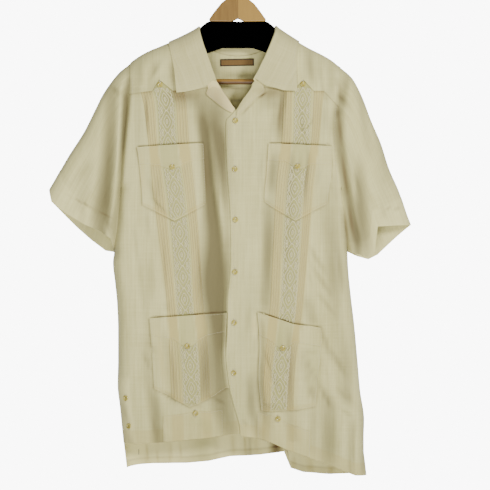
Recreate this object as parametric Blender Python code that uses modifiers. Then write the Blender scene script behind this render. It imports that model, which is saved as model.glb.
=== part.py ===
"""Camp shirt of the guayabera kind, hung on its hanger.

The shirt hangs flat from its hanger. The origin is where the hook bears, X runs to the
wearer's left, Y to the back and Z up. Sizes are in millimetres, and MM turns them into metres
where a mesh is made. "across" is X, "down" is the drop below the hook, and a face is FRONT or
BACK. Every cloth piece lies on one closed form, the shirt's outer surface, at its own lift.
"""
import bpy
import bmesh
import math
from bisect import bisect_right
from mathutils import Matrix, Vector

MM = 0.001
AXIS_MERGE = 0.00001
FRONT, RIDGE, BACK = -1, 0, 1

# Cloth and seams
CLOTH = 1.2
COLLAR_CLOTH = 1.6
SEAM = 0.3
LAY = 0.4
TUCK_HEIGHT = 0.8
TUCKS_IN_GROUP = 4

# The closed form: how fast it rounds off under the shoulder line and beside the side seam
SHOULDER_ROUND = 32.0
SIDE_ROUND = 26.0
SLEEVE_SLIT = 1.0
SLEEVE_SLIT_GROWTH = 0.1
ARMHOLE_SEAM = 1.0
SLEEVE_DEPTH = 24.0
SLEEVE_BLEND = 50.0
VENT_TOP = 850.0
VENT_OPEN = 7.0
VENT_LENGTH = 150.0

# Shoulder line from cuff to cuff: across, down
SHOULDER_LINE = (
    (-367, 458), (-356, 439), (-329, 392), (-299, 345), (-276, 299), (-264, 275), (-249, 252),
    (-229, 228), (-215, 217), (-202, 206), (-184, 194), (-159, 182), (-136, 173), (-104, 161),
    (-75, 150), (-60, 145), (0, 142), (60, 144), (75, 149), (97, 159), (118, 170), (139, 182),
    (163, 194), (182, 205), (198, 218), (223, 240), (237, 264), (247, 287), (260, 322),
    (280, 369), (295, 416), (315, 462), (331, 509), (338, 527))

# Half depth of the shirt: down, front, back
DEPTH = ((120, 20, 20), (250, 25, 22), (420, 30, 24), (700, 34, 27), (1020, 31, 27))

# Armhole above the underarm, then the side seam: down, across
RIGHT_EDGE = ((180, -207), (210, -208), (271, -210), (304, -214), (379, -221), (458, -226),
              (529, -233), (583, -241), (600, -243), (638, -239), (679, -235), (732, -233),
              (790, -233), (837, -234), (884, -229), (942, -223), (977, -219), (1020, -214))
LEFT_EDGE = ((180, 200), (221, 201), (273, 199), (320, 195), (380, 194), (458, 202),
             (505, 206), (576, 214), (614, 216), (673, 222), (724, 228), (790, 234), (848, 239),
             (907, 247), (942, 246), (966, 246), (985, 248), (1020, 252))
UNDERARM_DOWN = 458.0

# Bands on the fronts: down, then outer tucks, embroidery and inner tucks from the side inwards
RIGHT_BANDS = (
    (245, -195, -172, -170, -134, -132, -110), (292, -182, -160, -157, -121, -119, -98),
    (364, -173, -155, -152, -117, -115, -93), (454, -164, -142, -139, -104, -102, -83),
    (553, -152, -132, -128, -93, -91, -74), (671, -137, -120, -118, -87, -85, -66),
    (821, -129, -107, -105, -75, -72, -53), (960, -125, -103, -101, -71, -68, -49))
LEFT_BANDS = (
    (245, 170, 149, 146, 109, 107, 90), (301, 164, 146, 142, 109, 106, 88),
    (358, 159, 143, 141, 108, 105, 85), (451, 147, 130, 128, 96, 93, 75),
    (546, 139, 124, 122, 90, 87, 69), (669, 128, 115, 113, 85, 82, 63),
    (841, 111, 97, 95, 67, 65, 50), (1010, 107, 93, 91, 63, 61, 46))

# Front yoke seam: the band's pointed top rises through it to a button
SEAM_DOWN = 267.0
POINT_DOWN = 245.0
YOKE_BACK_DOWN = 282.0
NECK_WIDTH = 75.0
NECK_DROP = 46.0
NECK_BACK_DOWN = 150.0
YOKE_FRONT_ROWS = (0.0, 0.3, 0.6, 0.82, 0.94, 0.99, 1.0)
YOKE_BACK_ROWS = (0.012, 0.05, 0.13, 0.25, 0.5, 0.75, 1.0)
YOKE_NECK = {-1: ((150, -75), (190, -69), (230, -61), (262, -50)),
             1: ((149, 75), (190, 66), (230, 53), (260, 40))}
YOKE_NECK_FOOT = 260.0
YOKE_WIDE_STEP = 24.0
NECK_TURNS = 9
ARMHOLE_TOP = 215.0

# Front neck edge, roll line and closing edge: down, across
RIGHT_FRONT_EDGE = ((256, -47), (270, -30), (303, -4), (318, 6), (340, 17), (800, 18), (900, 28),
                    (960, 32))
LEFT_FRONT_EDGE = ((254, 37), (270, 20), (303, -2), (314, -12), (324, -21), (340, -22),
                   (404, -20), (516, -13), (595, -12), (673, -18), (738, -19), (778, -22),
                   (830, -17), (877, -6), (913, 4), (940, 7))
PLACKET_DIP = 2.8
PLACKET_DIP_DOWN = 290.0
PLACKET_DIP_RAMP = 13.0
PLACKET_LAP = 14.0
PLACKET_COLUMNS = (0.35, 0.7, 0.9, 1.0)

# Rows and columns of the big panels, and how points settle between a panel's top and its hem
FRONT_ROWS = 19
FRONT_INSETS = (0.0, 1.5, 6.0, 14.0, 26.0)
FRONT_SIDE_ROOM = 30.0
FRONT_TOP_GAP = 0.5
BACK_ROWS = 17
BACK_COLUMNS = (0.0, 0.003, 0.013, 0.03, 0.06, 0.13, 0.2, 0.28, 0.36, 0.44, 0.52, 0.6, 0.66)
BACK_STEP = (93.0, 102.0)
BACK_FAR_COLUMNS = (0.79, 0.86, 0.94, 0.97, 0.987, 1.0)
SETTLE = 0.6
SETTLE_TIMES = 40

# Hems: across, down
RIGHT_HEM = ((-230, 950), (-163, 949), (-56, 939), (-12, 932), (40, 928))
LEFT_HEM = ((0, 934), (42, 940), (68, 949), (94, 961), (129, 973), (164, 986), (200, 999),
            (225, 1011), (255, 1013))
BACK_HEM = ((-220, 1001), (-194, 997), (-171, 995), (-100, 994), (-56, 990), (-15, 981),
            (44, 978), (93, 971), (102, 1003), (129, 1012), (180, 1016), (255, 1013))

# Sleeve hems from the shoulder fold to the underarm seam: share of the way, across, down
RIGHT_CUFF = {
    FRONT: ((0, -367, 458), (0.08, -361, 482), (0.28, -335, 503), (0.5, -298, 526),
            (0.7, -268, 539), (0.9, -248, 553), (1, -242, 580)),
    BACK: ((0, -367, 458), (0.08, -362, 484), (0.28, -335, 512), (0.42, -316, 531),
           (0.6, -288, 556), (0.85, -261, 577), (1, -242, 580))}
LEFT_CUFF = {
    FRONT: ((0, 338, 527), (0.3, 305, 528), (0.5, 273, 530), (0.56, 266, 588), (0.64, 257, 592),
            (0.82, 238, 584), (1, 215, 578)),
    BACK: ((0, 338, 527), (0.3, 310, 552), (0.56, 275, 585), (0.7, 258, 594), (0.85, 236, 588),
           (1, 215, 578))}
ROUND_SLEEVE = (0, 0.02, 0.08, 0.18, 0.3, 0.42, 0.5, 0.56, 0.66, 0.78, 0.9, 0.98, 1)
SLEEVE_RINGS = 9

# Soft folds: face, from across and down, to across and down, half width, depth
FOLDS = (
    (FRONT, -61, 320, -46, 520, 12, 5.0), (FRONT, -46, 520, -40, 700, 15, 7.0),
    (FRONT, -196, 480, -182, 690, 10, 3.5), (FRONT, -198, 290, -206, 440, 8, 4.0),
    (FRONT, -168, 850, -160, 960, 10, 5.0), (FRONT, 22, 360, 30, 660, 15, 3.0),
    (FRONT, 186, 330, 196, 600, 9, 3.5), (FRONT, 172, 700, 182, 860, 8, 3.0),
    (FRONT, 184, 880, 182, 1010, 11, 5.5), (FRONT, 222, 930, 226, 1020, 6, 4.0),
    (BACK, -120, 400, -104, 900, 18, 4.0), (BACK, 62, 380, 84, 860, 18, 4.5),
    (BACK, -20, 320, -8, 720, 16, 3.0), (BACK, 150, 480, 166, 960, 15, 4.0),
    (BACK, -184, 520, -172, 960, 13, 3.5), (BACK, 97, 900, 99, 1020, 7, 5.0),
    (FRONT, -250, 290, -262, 470, 12, 5.0), (FRONT, -262, 470, -270, 560, 11, 5.0),
    (FRONT, -228, 300, -236, 460, 8, 3.5), (FRONT, 268, 420, 276, 600, 6, 5.0),
    (FRONT, 226, 330, 232, 520, 9, 3.5), (BACK, -262, 330, -290, 540, 14, 4.0),
    (BACK, 248, 360, 276, 560, 14, 4.0))

FOLD_EASE = 0.85

# Pockets on the bands: side line as down, across; top and bottom as across, down
POCKETS = {
    "chest_pocket_r": dict(
        outer=((368, -196), (409, -190), (489, -184), (525, -184)),
        inner=((360, -66), (488, -62), (525, -62)),
        top=((-200, 377), (-60, 368)),
        bottom=((-190, 486), (-162, 499), (-122, 519), (-80, 497), (-60, 486)),
        band=((-200, 409), (-151, 412), (-128, 420), (-92, 404), (-60, 399))),
    "chest_pocket_l": dict(
        outer=((368, 182), (408, 183), (483, 175), (525, 174)),
        inner=((360, 61), (424, 56), (477, 52), (525, 52)),
        top=((50, 369), (190, 375)),
        bottom=((45, 478), (73, 496), (112, 519), (150, 498), (180, 483)),
        band=((50, 402), (92, 404), (117, 420), (142, 410), (190, 409))),
    "lower_pocket_r": dict(
        outer=((700, -170), (770, -165), (842, -161), (885, -158)),
        inner=((690, -26), (885, -26)),
        top=((-175, 708), (-20, 697)),
        bottom=((-165, 842), (-132, 858), (-92, 880), (-45, 858), (-20, 842)),
        band=((-175, 742), (-125, 747), (-98, 765), (-62, 742), (-20, 734))),
    "lower_pocket_l": dict(
        outer=((700, 163), (767, 162), (827, 155), (890, 151)),
        inner=((690, 38), (768, 42), (811, 40), (890, 46)),
        top=((30, 693), (79, 709), (109, 719), (170, 727)),
        bottom=((35, 886), (65, 888), (115, 885), (160, 876)),
        band=((30, 734), (60, 748), (86, 768), (112, 754), (170, 764)))}
POCKET_PUFF = 3.0
POCKET_STAND = TUCK_HEIGHT + LAY + CLOTH
POCKET_ROWS = (0.0, 0.02, 0.25, 0.5, 0.75, 1.0)
POCKET_MIDDLE = 400.0
POCKET_BAND_ROWS = (0.0, 0.5, 1.0)
POCKET_BAND_COLUMNS = 9
POCKET_BAND_INSET = 0.6
SWELL_LEAST = 0.35
SWELL_SPAN = 1.6

# Bands along the front hems: across from and to, and how far the hem is below their top edge
HEM_BANDS = {
    "hem_band_r": dict(start=-143, end=-28, point=-81, side="right"),
    "hem_band_l": dict(start=38, end=141, point=78, side="left")}
HEM_BAND_HEIGHT = 46.0
HEM_BAND_POINT = 9.0
HEM_BAND_POINT_WIDTH = 24.0
HEM_BAND_ROWS = (0.0, 0.35, 0.7, 1.0)
HEM_BAND_INSET = 1.0

# Collar from the wearer's right end round the back to the left: face, then neck edge, stand
# (sideways, outwards, up) and outer edge
COLLAR = (
    (FRONT, -47, 253, 5, 5, 8, -118, 271, 8),
    (FRONT, -55, 232, 5, 6, 9, -120, 248, 3),
    (FRONT, -63, 206, 4, 7, 8, -123, 224, 0),
    (FRONT, -70, 180, 2, 6, 7, -127, 202, 0),
    (FRONT, -74, 160, 0, 5, 7, -131, 184, 0),
    (FRONT, -75, 152, 0, 2, 9, -133, 175, 0),
    (RIDGE, -75, 150, 0, 0, 10, -133, 172, 0),
    (BACK, -75, 152, 0, 1, 10, -133, 175, 0),
    (BACK, -73, 161, 0, 3, 11, -130, 188, 0),
    (BACK, -62, 176, 0, 2, 15, -110, 218, 0),
    (BACK, -36, 191, 0, 1, 18, -62, 235, 0),
    (BACK, 0, 196, 0, 1, 19, 0, 240, 0),
    (BACK, 36, 190, 0, 1, 18, 60, 235, 0),
    (BACK, 60, 176, 0, 2, 15, 100, 218, 0),
    (BACK, 73, 160, 0, 3, 11, 116, 186, 0),
    (BACK, 75, 151, 0, 1, 10, 119, 174, 0),
    (RIDGE, 75, 149, 0, 0, 10, 119, 171, 0),
    (FRONT, 75, 151, 0, 2, 9, 119, 174, 0),
    (FRONT, 74, 160, 0, 5, 7, 118, 182, 0),
    (FRONT, 68, 180, -2, 6, 7, 116, 200, 0),
    (FRONT, 59, 206, -4, 7, 8, 115, 222, 0),
    (FRONT, 48, 232, -5, 6, 9, 115, 246, 3),
    (FRONT, 37, 251, -5, 5, 8, 116, 268, 6))
COLLAR_SEAT = 1.2
COLLAR_EDGE_LIFT = 2.8
COLLAR_ROLL_HALF = 3.0
COLLAR_ROLL_DROP = 2.5
COLLAR_LEAF = (0.22, 0.45, 0.72, 1.0)
COLLAR_LEAF_RISE = 0.55
COLLAR_LEAF_FALL = 1.4
COLLAR_STEPS = 2

# Lapels from the gorge down to the top button: roll across and down, outer edge across and down
LAPELS = {
    "right_lapel": ((-37, 253, -57, 261), (-34, 258, -60, 273), (-26, 270, -47, 285),
                    (-16, 285, -32, 297), (-9, 296, -18, 306), (-5, 301, -9, 309)),
    "left_lapel": ((28, 254, 51, 259), (27, 259, 54, 270), (21, 269, 40, 279),
                   (12, 281, 27, 291), (5, 292, 12, 305), (0, 301, -1, 317))}
LAPEL_LIFT = 2.0
LAPEL_PUFF = 1.5
LAPEL_COLUMNS = 5

NECK_LABEL = dict(start=-34, end=32, top=201, bottom=215, cloth=1.0)

# Buttons: across, down, and what they lie on
BUTTON_RADIUS = 5.4
BUTTON_THICK = 2.2
BUTTON_SIDES = 12
BUTTON_PROFILE = ((0.0, 0.6), (0.6, 0.6), (0.8, 1.0), (1.0, 0.45), (0.75, 0.0), (0.0, 0.0))
BUTTONS = {
    "placket_button_1": (-4, 325, "front"), "placket_button_2": (-5, 419, "front"),
    "placket_button_3": (-4, 517, "front"), "placket_button_4": (-5, 618, "front"),
    "placket_button_5": (-6, 716, "front"), "placket_button_6": (-7, 813, "front"),
    "yoke_button_r": (-150, 255, "front"), "yoke_button_l": (127, 254, "front"),
    "chest_button_r": (-127, 409, "chest_pocket_r"), "chest_button_l": (117, 409, "chest_pocket_l"),
    "lower_button_r": (-97, 754, "lower_pocket_r"), "lower_button_l": (87, 758, "lower_pocket_l"),
    "hem_button_r": (-81, 897, "hem"), "hem_button_l": (78, 914, "hem"),
    "vent_button_1": (-216, 862, "front"), "vent_button_2": (-210, 916, "front")}

# Hanger
HEAD_OUTLINE = ((-56, 127), (-50, 118), (-41, 106), (-31, 94), (-22, 87), (-12, 81), (0, 78),
                (12, 81), (22, 87), (33, 96), (43, 109), (51, 120), (56, 127), (54, 130.5),
                (14, 131), (1, 124), (-12, 131), (-54, 130.5))
HEAD_TOP = 78
HEAD_THICK = 16.0
SHOULDER_THICK = 12.0
SHOULDER_TOP = 131.4
SHOULDER_CORNER = (62, 139)
NECK_SIDE = 69.0
ARM_REACH = {-1: 204.0, 1: 198.0}
ARM_START = 79.0
ARM_POINTS = 14
ARM_CLEARANCE = CLOTH + 3 * LAY
ARM_UNDER = ((30, 182), (56, 191), (120, 211), (180, 233))
NECK_SIDE_FOOT = 154.5
EAR_IN = 187.0
EAR_FOOT = 199.0
EAR_TOP = 236.0
EAR_BOTTOM = 262.0
EAR_END = 10.0
PLATE_BEVEL = {"hanger_head": 3.0, "hanger_shoulders": 4.0}
BAR_RADIUS = 5.4
BAR_DOWN = 247.5
WIRE_RADIUS = 1.7
HOOK_RADIUS = 20.0
HOOK_STEM = ((0, -62), (3, -54), (10, -45))
HOOK_TURN = (-38.0, 205.0)
HOOK_POINTS = 14
BAR_SIDES = 14

COLOURS = {
    "cloth": ((0.55, 0.52, 0.41, 1), 0.85, 0.0), "pearl": ((0.62, 0.55, 0.33, 1), 0.3, 0.0),
    "label": ((0.45, 0.33, 0.19, 1), 0.8, 0.0), "wood": ((0.34, 0.2, 0.09, 1), 0.45, 0.0),
    "felt": ((0.012, 0.012, 0.013, 1), 0.95, 0.0), "steel": ((0.6, 0.6, 0.6, 1), 0.25, 1.0)}


def smooth(rows, at, column=1):
    """Reads a column of a table at a key, on a curve that never overshoots its rows."""
    keys = [row[0] for row in rows]
    values = [row[column] for row in rows]
    last = len(keys) - 1
    if at <= keys[0]:
        return values[0]
    if at >= keys[last]:
        return values[last]
    slopes = [(values[i + 1] - values[i]) / (keys[i + 1] - keys[i]) for i in range(last)]

    def tangent(i):
        if i in (0, last):
            return slopes[0 if i == 0 else -1]
        before, after = slopes[i - 1], slopes[i]
        if before * after <= 0:
            return 0.0
        return 2 * before * after / (before + after)
    i = bisect_right(keys, at) - 1
    step = keys[i + 1] - keys[i]
    t = (at - keys[i]) / step
    rise = (2 * t ** 3 - 3 * t ** 2 + 1) * values[i] + (3 * t ** 2 - 2 * t ** 3) * values[i + 1]
    lean = (t ** 3 - 2 * t ** 2 + t) * tangent(i) + (t ** 3 - t ** 2) * tangent(i + 1)
    return rise + step * lean


def straight(rows, at, column=1):
    """Reads a column of a table at a key, on straight lines between its rows."""
    keys = [row[0] for row in rows]
    i = min(max(bisect_right(keys, at) - 1, 0), len(keys) - 2)
    t = (at - keys[i]) / (keys[i + 1] - keys[i])
    return rows[i][column] + min(max(t, 0), 1) * (rows[i + 1][column] - rows[i][column])


def mix(start, end, share):
    return start + (end - start) * share


def quarter(share):
    """Rises from 0 to 1 as a quarter of an ellipse does."""
    share = min(max(share, 0.0), 1.0)
    return math.sqrt(1 - (1 - share) ** 2)


def bump(share):
    """A soft bell, 1 in the middle and 0 from 1 outwards."""
    return (1 - min(abs(share), 1.0) ** 2) ** 2


def shoulder(across):
    return smooth(SHOULDER_LINE, across)


def shoulder_slope(across):
    return (shoulder(across + 2) - shoulder(across - 2)) / 4


def edge(side, down):
    return smooth(RIGHT_EDGE if side < 0 else LEFT_EDGE, down)


def side_distance(across, down):
    """Distance to the nearer side seam, or above it to the underarm point."""
    side = -1 if across < 0 else 1
    seam = edge(side, max(down, UNDERARM_DOWN))
    gap = abs(across - seam)
    if down > UNDERARM_DOWN and side * (across - seam) > 0:
        gap = max(gap - SLEEVE_SLIT, 0.0)
    return math.hypot(gap, max(UNDERARM_DOWN - down, 0.0))


def fold_depth(across, down, face):
    """How far the soft folds press the cloth in at a place."""
    total = 0.0
    for fold_face, x0, d0, x1, d1, width, depth in FOLDS:
        if fold_face != face:
            continue
        length = math.hypot(x1 - x0, d1 - d0)
        along = ((across - x0) * (x1 - x0) + (down - d0) * (d1 - d0)) / length
        apart = ((across - x0) * (d1 - d0) - (down - d0) * (x1 - x0)) / length
        middle = 2 * along / length - 1
        total += depth * bump(apart / (2 * width)) * bump(middle * FOLD_EASE)
    return total


def reach(across, down, face):
    """Half depth of the shirt's outer surface at a place."""
    drop = max(down - shoulder(across), 0.0) / math.hypot(1, shoulder_slope(across))
    round_off = quarter(drop / SHOULDER_ROUND) * quarter(side_distance(across, down) / SIDE_ROUND)
    full = smooth(DEPTH, down, 1 if face == FRONT else 2)
    past = abs(across) - abs(edge(-1 if across < 0 else 1, down))
    full = mix(full, min(full, SLEEVE_DEPTH), min(max(past / SLEEVE_BLEND, 0.0), 1.0))
    return max(full - fold_depth(across, down, face), 4.0) * round_off


def vent(down):
    return VENT_OPEN * min(max((down - VENT_TOP) / VENT_LENGTH, 0.0), 1.0) ** 2


def place(across, down, face, lift=0.0):
    """A point of the shirt's outer surface, moved out by the lift."""
    if face == RIDGE:
        out = Vector((shoulder_slope(across), 0, 1)).normalized()
        return Vector((across, 0, -down)) + out * lift
    step = 0.5

    def square(x, d):
        return reach(x, d, face) ** 2
    sign_x = 1 if across > 0 else -1
    rise_x = (square(across, down) - square(across - sign_x * step, down)) / (sign_x * step)
    rise_down = (square(across, down + step) - square(across, down)) / step
    depth = reach(across, down, face)
    out = Vector((-rise_x, 2 * face * depth, rise_down))
    if out.length < 1e-6:
        out = Vector((0, face, 0))
    point = Vector((across, face * (depth + SEAM / 2 + vent(down)), -down))
    return point + out.normalized() * lift


def collection(name):
    group = bpy.data.collections.new(name)
    bpy.context.scene.collection.children.link(group)
    return group


def material(name):
    if name in bpy.data.materials:
        return bpy.data.materials[name]
    colour, roughness, metallic = COLOURS[name]
    made = bpy.data.materials.new(name)
    made.use_nodes = True
    shader = made.node_tree.nodes["Principled BSDF"]
    shader.inputs["Base Color"].default_value = colour
    shader.inputs["Roughness"].default_value = roughness
    shader.inputs["Metallic"].default_value = metallic
    return made


def add_object(name, mesh, finish, group):
    thing = bpy.data.objects.new(name, mesh)
    mesh.materials.append(material(finish))
    group.objects.link(thing)
    return thing


def wall(name, outer, inner, group, finish="cloth", closed=False):
    """A closed wall between two grids of points; None leaves a hole in the grid."""
    mesh = bpy.data.meshes.new(name)
    shell = bmesh.new()
    rows, columns = len(outer), len(outer[0])
    layers = []
    for grid in (outer, inner):
        layers.append([[shell.verts.new(p * MM) if p is not None else None for p in row]
                       for row in grid])
    across = columns if closed else columns - 1
    for r in range(rows - 1):
        for c in range(across):
            n = (c + 1) % columns
            quad = [layers[0][r][c], layers[0][r][n], layers[0][r + 1][n], layers[0][r + 1][c]]
            if None in quad:
                continue
            back = [layers[1][r][c], layers[1][r + 1][c], layers[1][r + 1][n], layers[1][r][n]]
            shell.faces.new(quad)
            shell.faces.new(back)
    pairs = {}
    for top, under in zip(layers[0], layers[1]):
        for a, b in zip(top, under):
            if a is not None:
                pairs[a] = b
    rims = [e for e in shell.edges if len(e.link_faces) == 1 and e.verts[0] in pairs]
    for rim in rims:
        a, b = rim.verts
        shell.faces.new((a, b, pairs[b], pairs[a]))
    for loose in [v for v in shell.verts if not v.link_faces]:
        shell.verts.remove(loose)
    bmesh.ops.recalc_face_normals(shell, faces=shell.faces)
    shell.to_mesh(mesh)
    shell.free()
    mesh.shade_smooth()
    return add_object(name, mesh, finish, group)


def panel(name, grid, group, cloth=CLOTH, finish="cloth", closed=False):
    """A cloth wall from a grid of (across, down, face, lift, relief) places."""
    outer = [[None if p is None else place(p[0], p[1], p[2], p[3] + p[4]) for p in row]
             for row in grid]
    inner = [[None if p is None else place(p[0], p[1], p[2], p[3] - cloth) for p in row]
             for row in grid]
    return wall(name, outer, inner, group, finish, closed)


def band_tables(side):
    return RIGHT_BANDS if side < 0 else LEFT_BANDS


def band_lines(side):
    """Lines down a band's tucks as (function of down, relief), from the side inwards."""
    table = band_tables(side)
    lines = []

    def line(first, second, share):
        return lambda down: mix(smooth(table, down, first), smooth(table, down, second), share)
    for first, second in ((1, 2), (5, 6)):
        if first == 5:
            lines.append((line(3, 4, 0.5), 0.0))
        for k in range(2 * TUCKS_IN_GROUP + 1):
            lines.append((line(first, second, k / (2 * TUCKS_IN_GROUP)),
                          TUCK_HEIGHT if k % 2 else 0.0))
    return lines


def yoke_knots(side):
    """Corners of the front yoke seam from the armhole to the neck: across, down."""
    table = band_tables(side)
    start, end = smooth(table, SEAM_DOWN, 2), smooth(table, SEAM_DOWN, 5)
    point = (smooth(table, POINT_DOWN, 3) + smooth(table, POINT_DOWN, 4)) / 2
    if side < 0:
        return [(-212, 273), (start, SEAM_DOWN), (point, POINT_DOWN), (end, SEAM_DOWN), (-40, 258)]
    return [(202, 304), (168, SEAM_DOWN), (start, SEAM_DOWN), (point, POINT_DOWN),
            (end, SEAM_DOWN), (30, 256)]


def yoke_seam(side, across):
    return straight(sorted(yoke_knots(side)), across)


def placket_line(down):
    """The closing edge, kept inside the right front above the top button."""
    return min(smooth(LEFT_FRONT_EDGE, down), smooth(RIGHT_FRONT_EDGE, down) - 3)


def settle(line, top, bottom, share, start):
    """How far down a line a share of the way from its top to its bottom lies."""
    down = start
    for _ in range(SETTLE_TIMES):
        across = line(down)
        down = mix(down, mix(top(across), bottom(across), share), SETTLE)
    return down


def side_line(side, inset):
    """A line beside the side seam, drawn in where the first tuck runs close to the armhole."""
    def line(down):
        seam = edge(side, down)
        room = abs(seam - smooth(band_tables(side), down, 1))
        return seam - side * inset * min(room / FRONT_SIDE_ROOM, 1.0)
    return line


def front_grid(side):
    """Places of a front: rows from the yoke seam to the hem, columns from the side inwards."""
    edge_table = RIGHT_FRONT_EDGE if side < 0 else LEFT_FRONT_EDGE
    hem = RIGHT_HEM if side < 0 else LEFT_HEM
    lines = [(side_line(side, inset), 0.0) for inset in FRONT_INSETS]
    lines += band_lines(side)
    last_tuck = lines[-1][0]

    def inner(down):
        return smooth(edge_table, down)
    if side > 0:
        for share in PLACKET_COLUMNS:
            lines.append((lambda down, s=share: mix(last_tuck(down), inner(down), s), 0.0))
    else:
        lines.append((lambda down: (last_tuck(down) + placket_line(down) - PLACKET_LAP) / 2, 0.0))
        lines.append((lambda down: placket_line(down) - PLACKET_LAP, 0.0))
        lines.append((lambda down: placket_line(down) - 1, 0.0))
        lines.append((inner, 0.0))
    grid = []
    for r in range(FRONT_ROWS):
        row = []
        for line, relief in lines:
            down = settle(line, lambda across: yoke_seam(side, across) + FRONT_TOP_GAP,
                          lambda across: straight(hem, across), r / (FRONT_ROWS - 1), SEAM_DOWN)
            lift = 0.0
            if side < 0:
                under = (line(down) - placket_line(down) + PLACKET_LAP) / (PLACKET_LAP - 1)
                start = min(max((down - PLACKET_DIP_DOWN) / PLACKET_DIP_RAMP, 0.0), 1.0)
                lift = -PLACKET_DIP * start * min(max(under, 0.0), 1.0)
            fade = 1.0 if r else 0.0
            row.append((line(down), down, FRONT, lift, relief * fade))
        grid.append(row)
    return grid


def build_fronts(group):
    for side, name in ((-1, "right_front"), (1, "left_front")):
        panel(name, front_grid(side), group)


def build_back(group):
    """The back, with close columns where its hem steps down beside the fold."""
    def side_line(share):
        return lambda down: mix(edge(-1, down), edge(1, down), share)
    lines = [side_line(share) for share in BACK_COLUMNS]
    lines += [lambda down, at=at: at for at in BACK_STEP]
    lines += [side_line(share) for share in BACK_FAR_COLUMNS]
    grid = []
    for r in range(BACK_ROWS):
        row = []
        for line in lines:
            down = settle(line, lambda across: YOKE_BACK_DOWN + SEAM,
                          lambda across: straight(BACK_HEM, across), r / (BACK_ROWS - 1),
                          YOKE_BACK_DOWN)
            row.append((line(down), down, BACK, 0.0, 0.0))
        grid.append(row)
    panel("back", grid, group)


def neck_back(across):
    share = min(abs(across) / NECK_WIDTH, 1.0)
    return NECK_BACK_DOWN + NECK_DROP * math.sqrt(1 - share ** 2)


def build_yoke(group):
    """One piece: two shoulders that wrap over the shoulder line, joined behind the neck."""
    seams = {-1: sorted(yoke_knots(-1)), 1: sorted(yoke_knots(1), reverse=True)}
    columns = {-1: [], 1: []}
    for side in (-1, 1):
        neck = smooth(YOKE_NECK[side], YOKE_NECK_FOOT)
        knots = [x for x, _ in seams[side]]
        knots[0] = edge(side, seams[side][0][1])
        knots[-1] = neck
        line = []
        for a, b in zip(knots, knots[1:]):
            steps = 2 if abs(b - a) > YOKE_WIDE_STEP else 1
            line += [mix(a, b, k / steps) for k in range(steps)]
        line.append(neck)
        columns[side] = [(x - knots[0]) / (neck - knots[0]) for x in line]

    def shoulder_block(side):
        block = []
        for share in columns[side]:
            strip = []
            seam_x = mix(edge(side, seams[side][0][1]), smooth(YOKE_NECK[side], YOKE_NECK_FOOT), share)
            foot = yoke_seam(side, seam_x)
            for climb in YOKE_FRONT_ROWS:
                head = shoulder(mix(edge(side, ARMHOLE_TOP), side * NECK_WIDTH, share))
                down = mix(foot, head, climb)
                across = seam_x + mix(edge(side, down) - edge(side, foot),
                                      smooth(YOKE_NECK[side], down) - smooth(YOKE_NECK[side], foot),
                                      share)
                if climb == 1.0:
                    strip.append((across, shoulder(across), RIDGE, 0.0, 0.0))
                else:
                    strip.append((across, max(down, shoulder(across) + SEAM), FRONT, 0.0, 0.0))
            for fall in YOKE_BACK_ROWS:
                outer = edge(side, mix(ARMHOLE_TOP, YOKE_BACK_DOWN, fall))
                across = mix(outer, side * NECK_WIDTH, share)
                down = mix(shoulder(across), YOKE_BACK_DOWN, fall)
                strip.append((across, down, BACK, 0.0, 0.0))
            block.append(strip)
        return block
    middle = []
    for k in range(1, NECK_TURNS):
        across = -NECK_WIDTH * math.cos(math.pi * k / NECK_TURNS)
        strip = [None] * (len(YOKE_FRONT_ROWS) - 1)
        for fall in (0.0,) + YOKE_BACK_ROWS:
            down = mix(neck_back(across), YOKE_BACK_DOWN, fall)
            strip.append((across, down, BACK, 0.0, 0.0))
        middle.append(strip)
    strips = shoulder_block(-1) + middle + shoulder_block(1)[::-1]
    grid = [[strip[r] for strip in strips] for r in range(len(strips[0]))]
    panel("yoke", grid, group)


def build_sleeve(side, name, cuff, group):
    """A tube from the armhole to the hem, closed round the shoulder fold and underarm seam."""
    def shoulder_fold(share):
        start, end = edge(side, ARMHOLE_TOP) + side * ARMHOLE_SEAM, cuff[FRONT][0][1]
        across = mix(start, end, share)
        return Vector((across, shoulder(across)))

    def underarm(share):
        down = mix(UNDERARM_DOWN, cuff[FRONT][-1][2], share)
        return Vector((edge(side, down) + side * (SLEEVE_SLIT + SLEEVE_SLIT_GROWTH * share), down))

    def armhole(w):
        down = mix(shoulder(edge(side, ARMHOLE_TOP)), UNDERARM_DOWN, w)
        return Vector((edge(side, down) + side * ARMHOLE_SEAM, down))

    def hem(w, face):
        return Vector((straight(cuff[face], w, 1), straight(cuff[face], w, 2)))

    def spot(w, v, face):
        flat = armhole(w) * (1 - v) + hem(w, face) * v
        top = shoulder_fold(v) - (armhole(0) * (1 - v) + hem(0, face) * v)
        low = underarm(v) - (armhole(1) * (1 - v) + hem(1, face) * v)
        return flat + top * (1 - w) + low * w
    outer, inner = [], []
    for k in range(SLEEVE_RINGS):
        v = k / (SLEEVE_RINGS - 1)
        ring = []
        for w in ROUND_SLEEVE:
            at = spot(w, v, FRONT)
            ring.append((at.x, at.y, RIDGE if w == 0 else FRONT))
        for w in ROUND_SLEEVE[-2:0:-1]:
            at = spot(w, v, BACK)
            ring.append((at.x, at.y, BACK))
        outer.append([place(*p) for p in ring])
        inner.append([place(*p, -CLOTH) for p in ring])
    wall(name, outer, inner, group, closed=True)


def pocket_lift(shape, across, down):
    """A pocket stands off its front, most in its middle and at its mouth."""
    top = straight(shape["top"], across)
    low = straight(shape["bottom"], across)
    left, right = smooth(shape["outer"], down), smooth(shape["inner"], down)
    share = (across - left) / (right - left)
    height = (down - top) / (low - top)
    rise = bump((min(max(height, 0), 1) - 0.5) * SWELL_SPAN)
    swell = bump(2 * share - 1) * mix(SWELL_LEAST, 1, rise)
    return POCKET_STAND + POCKET_PUFF * swell


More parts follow.
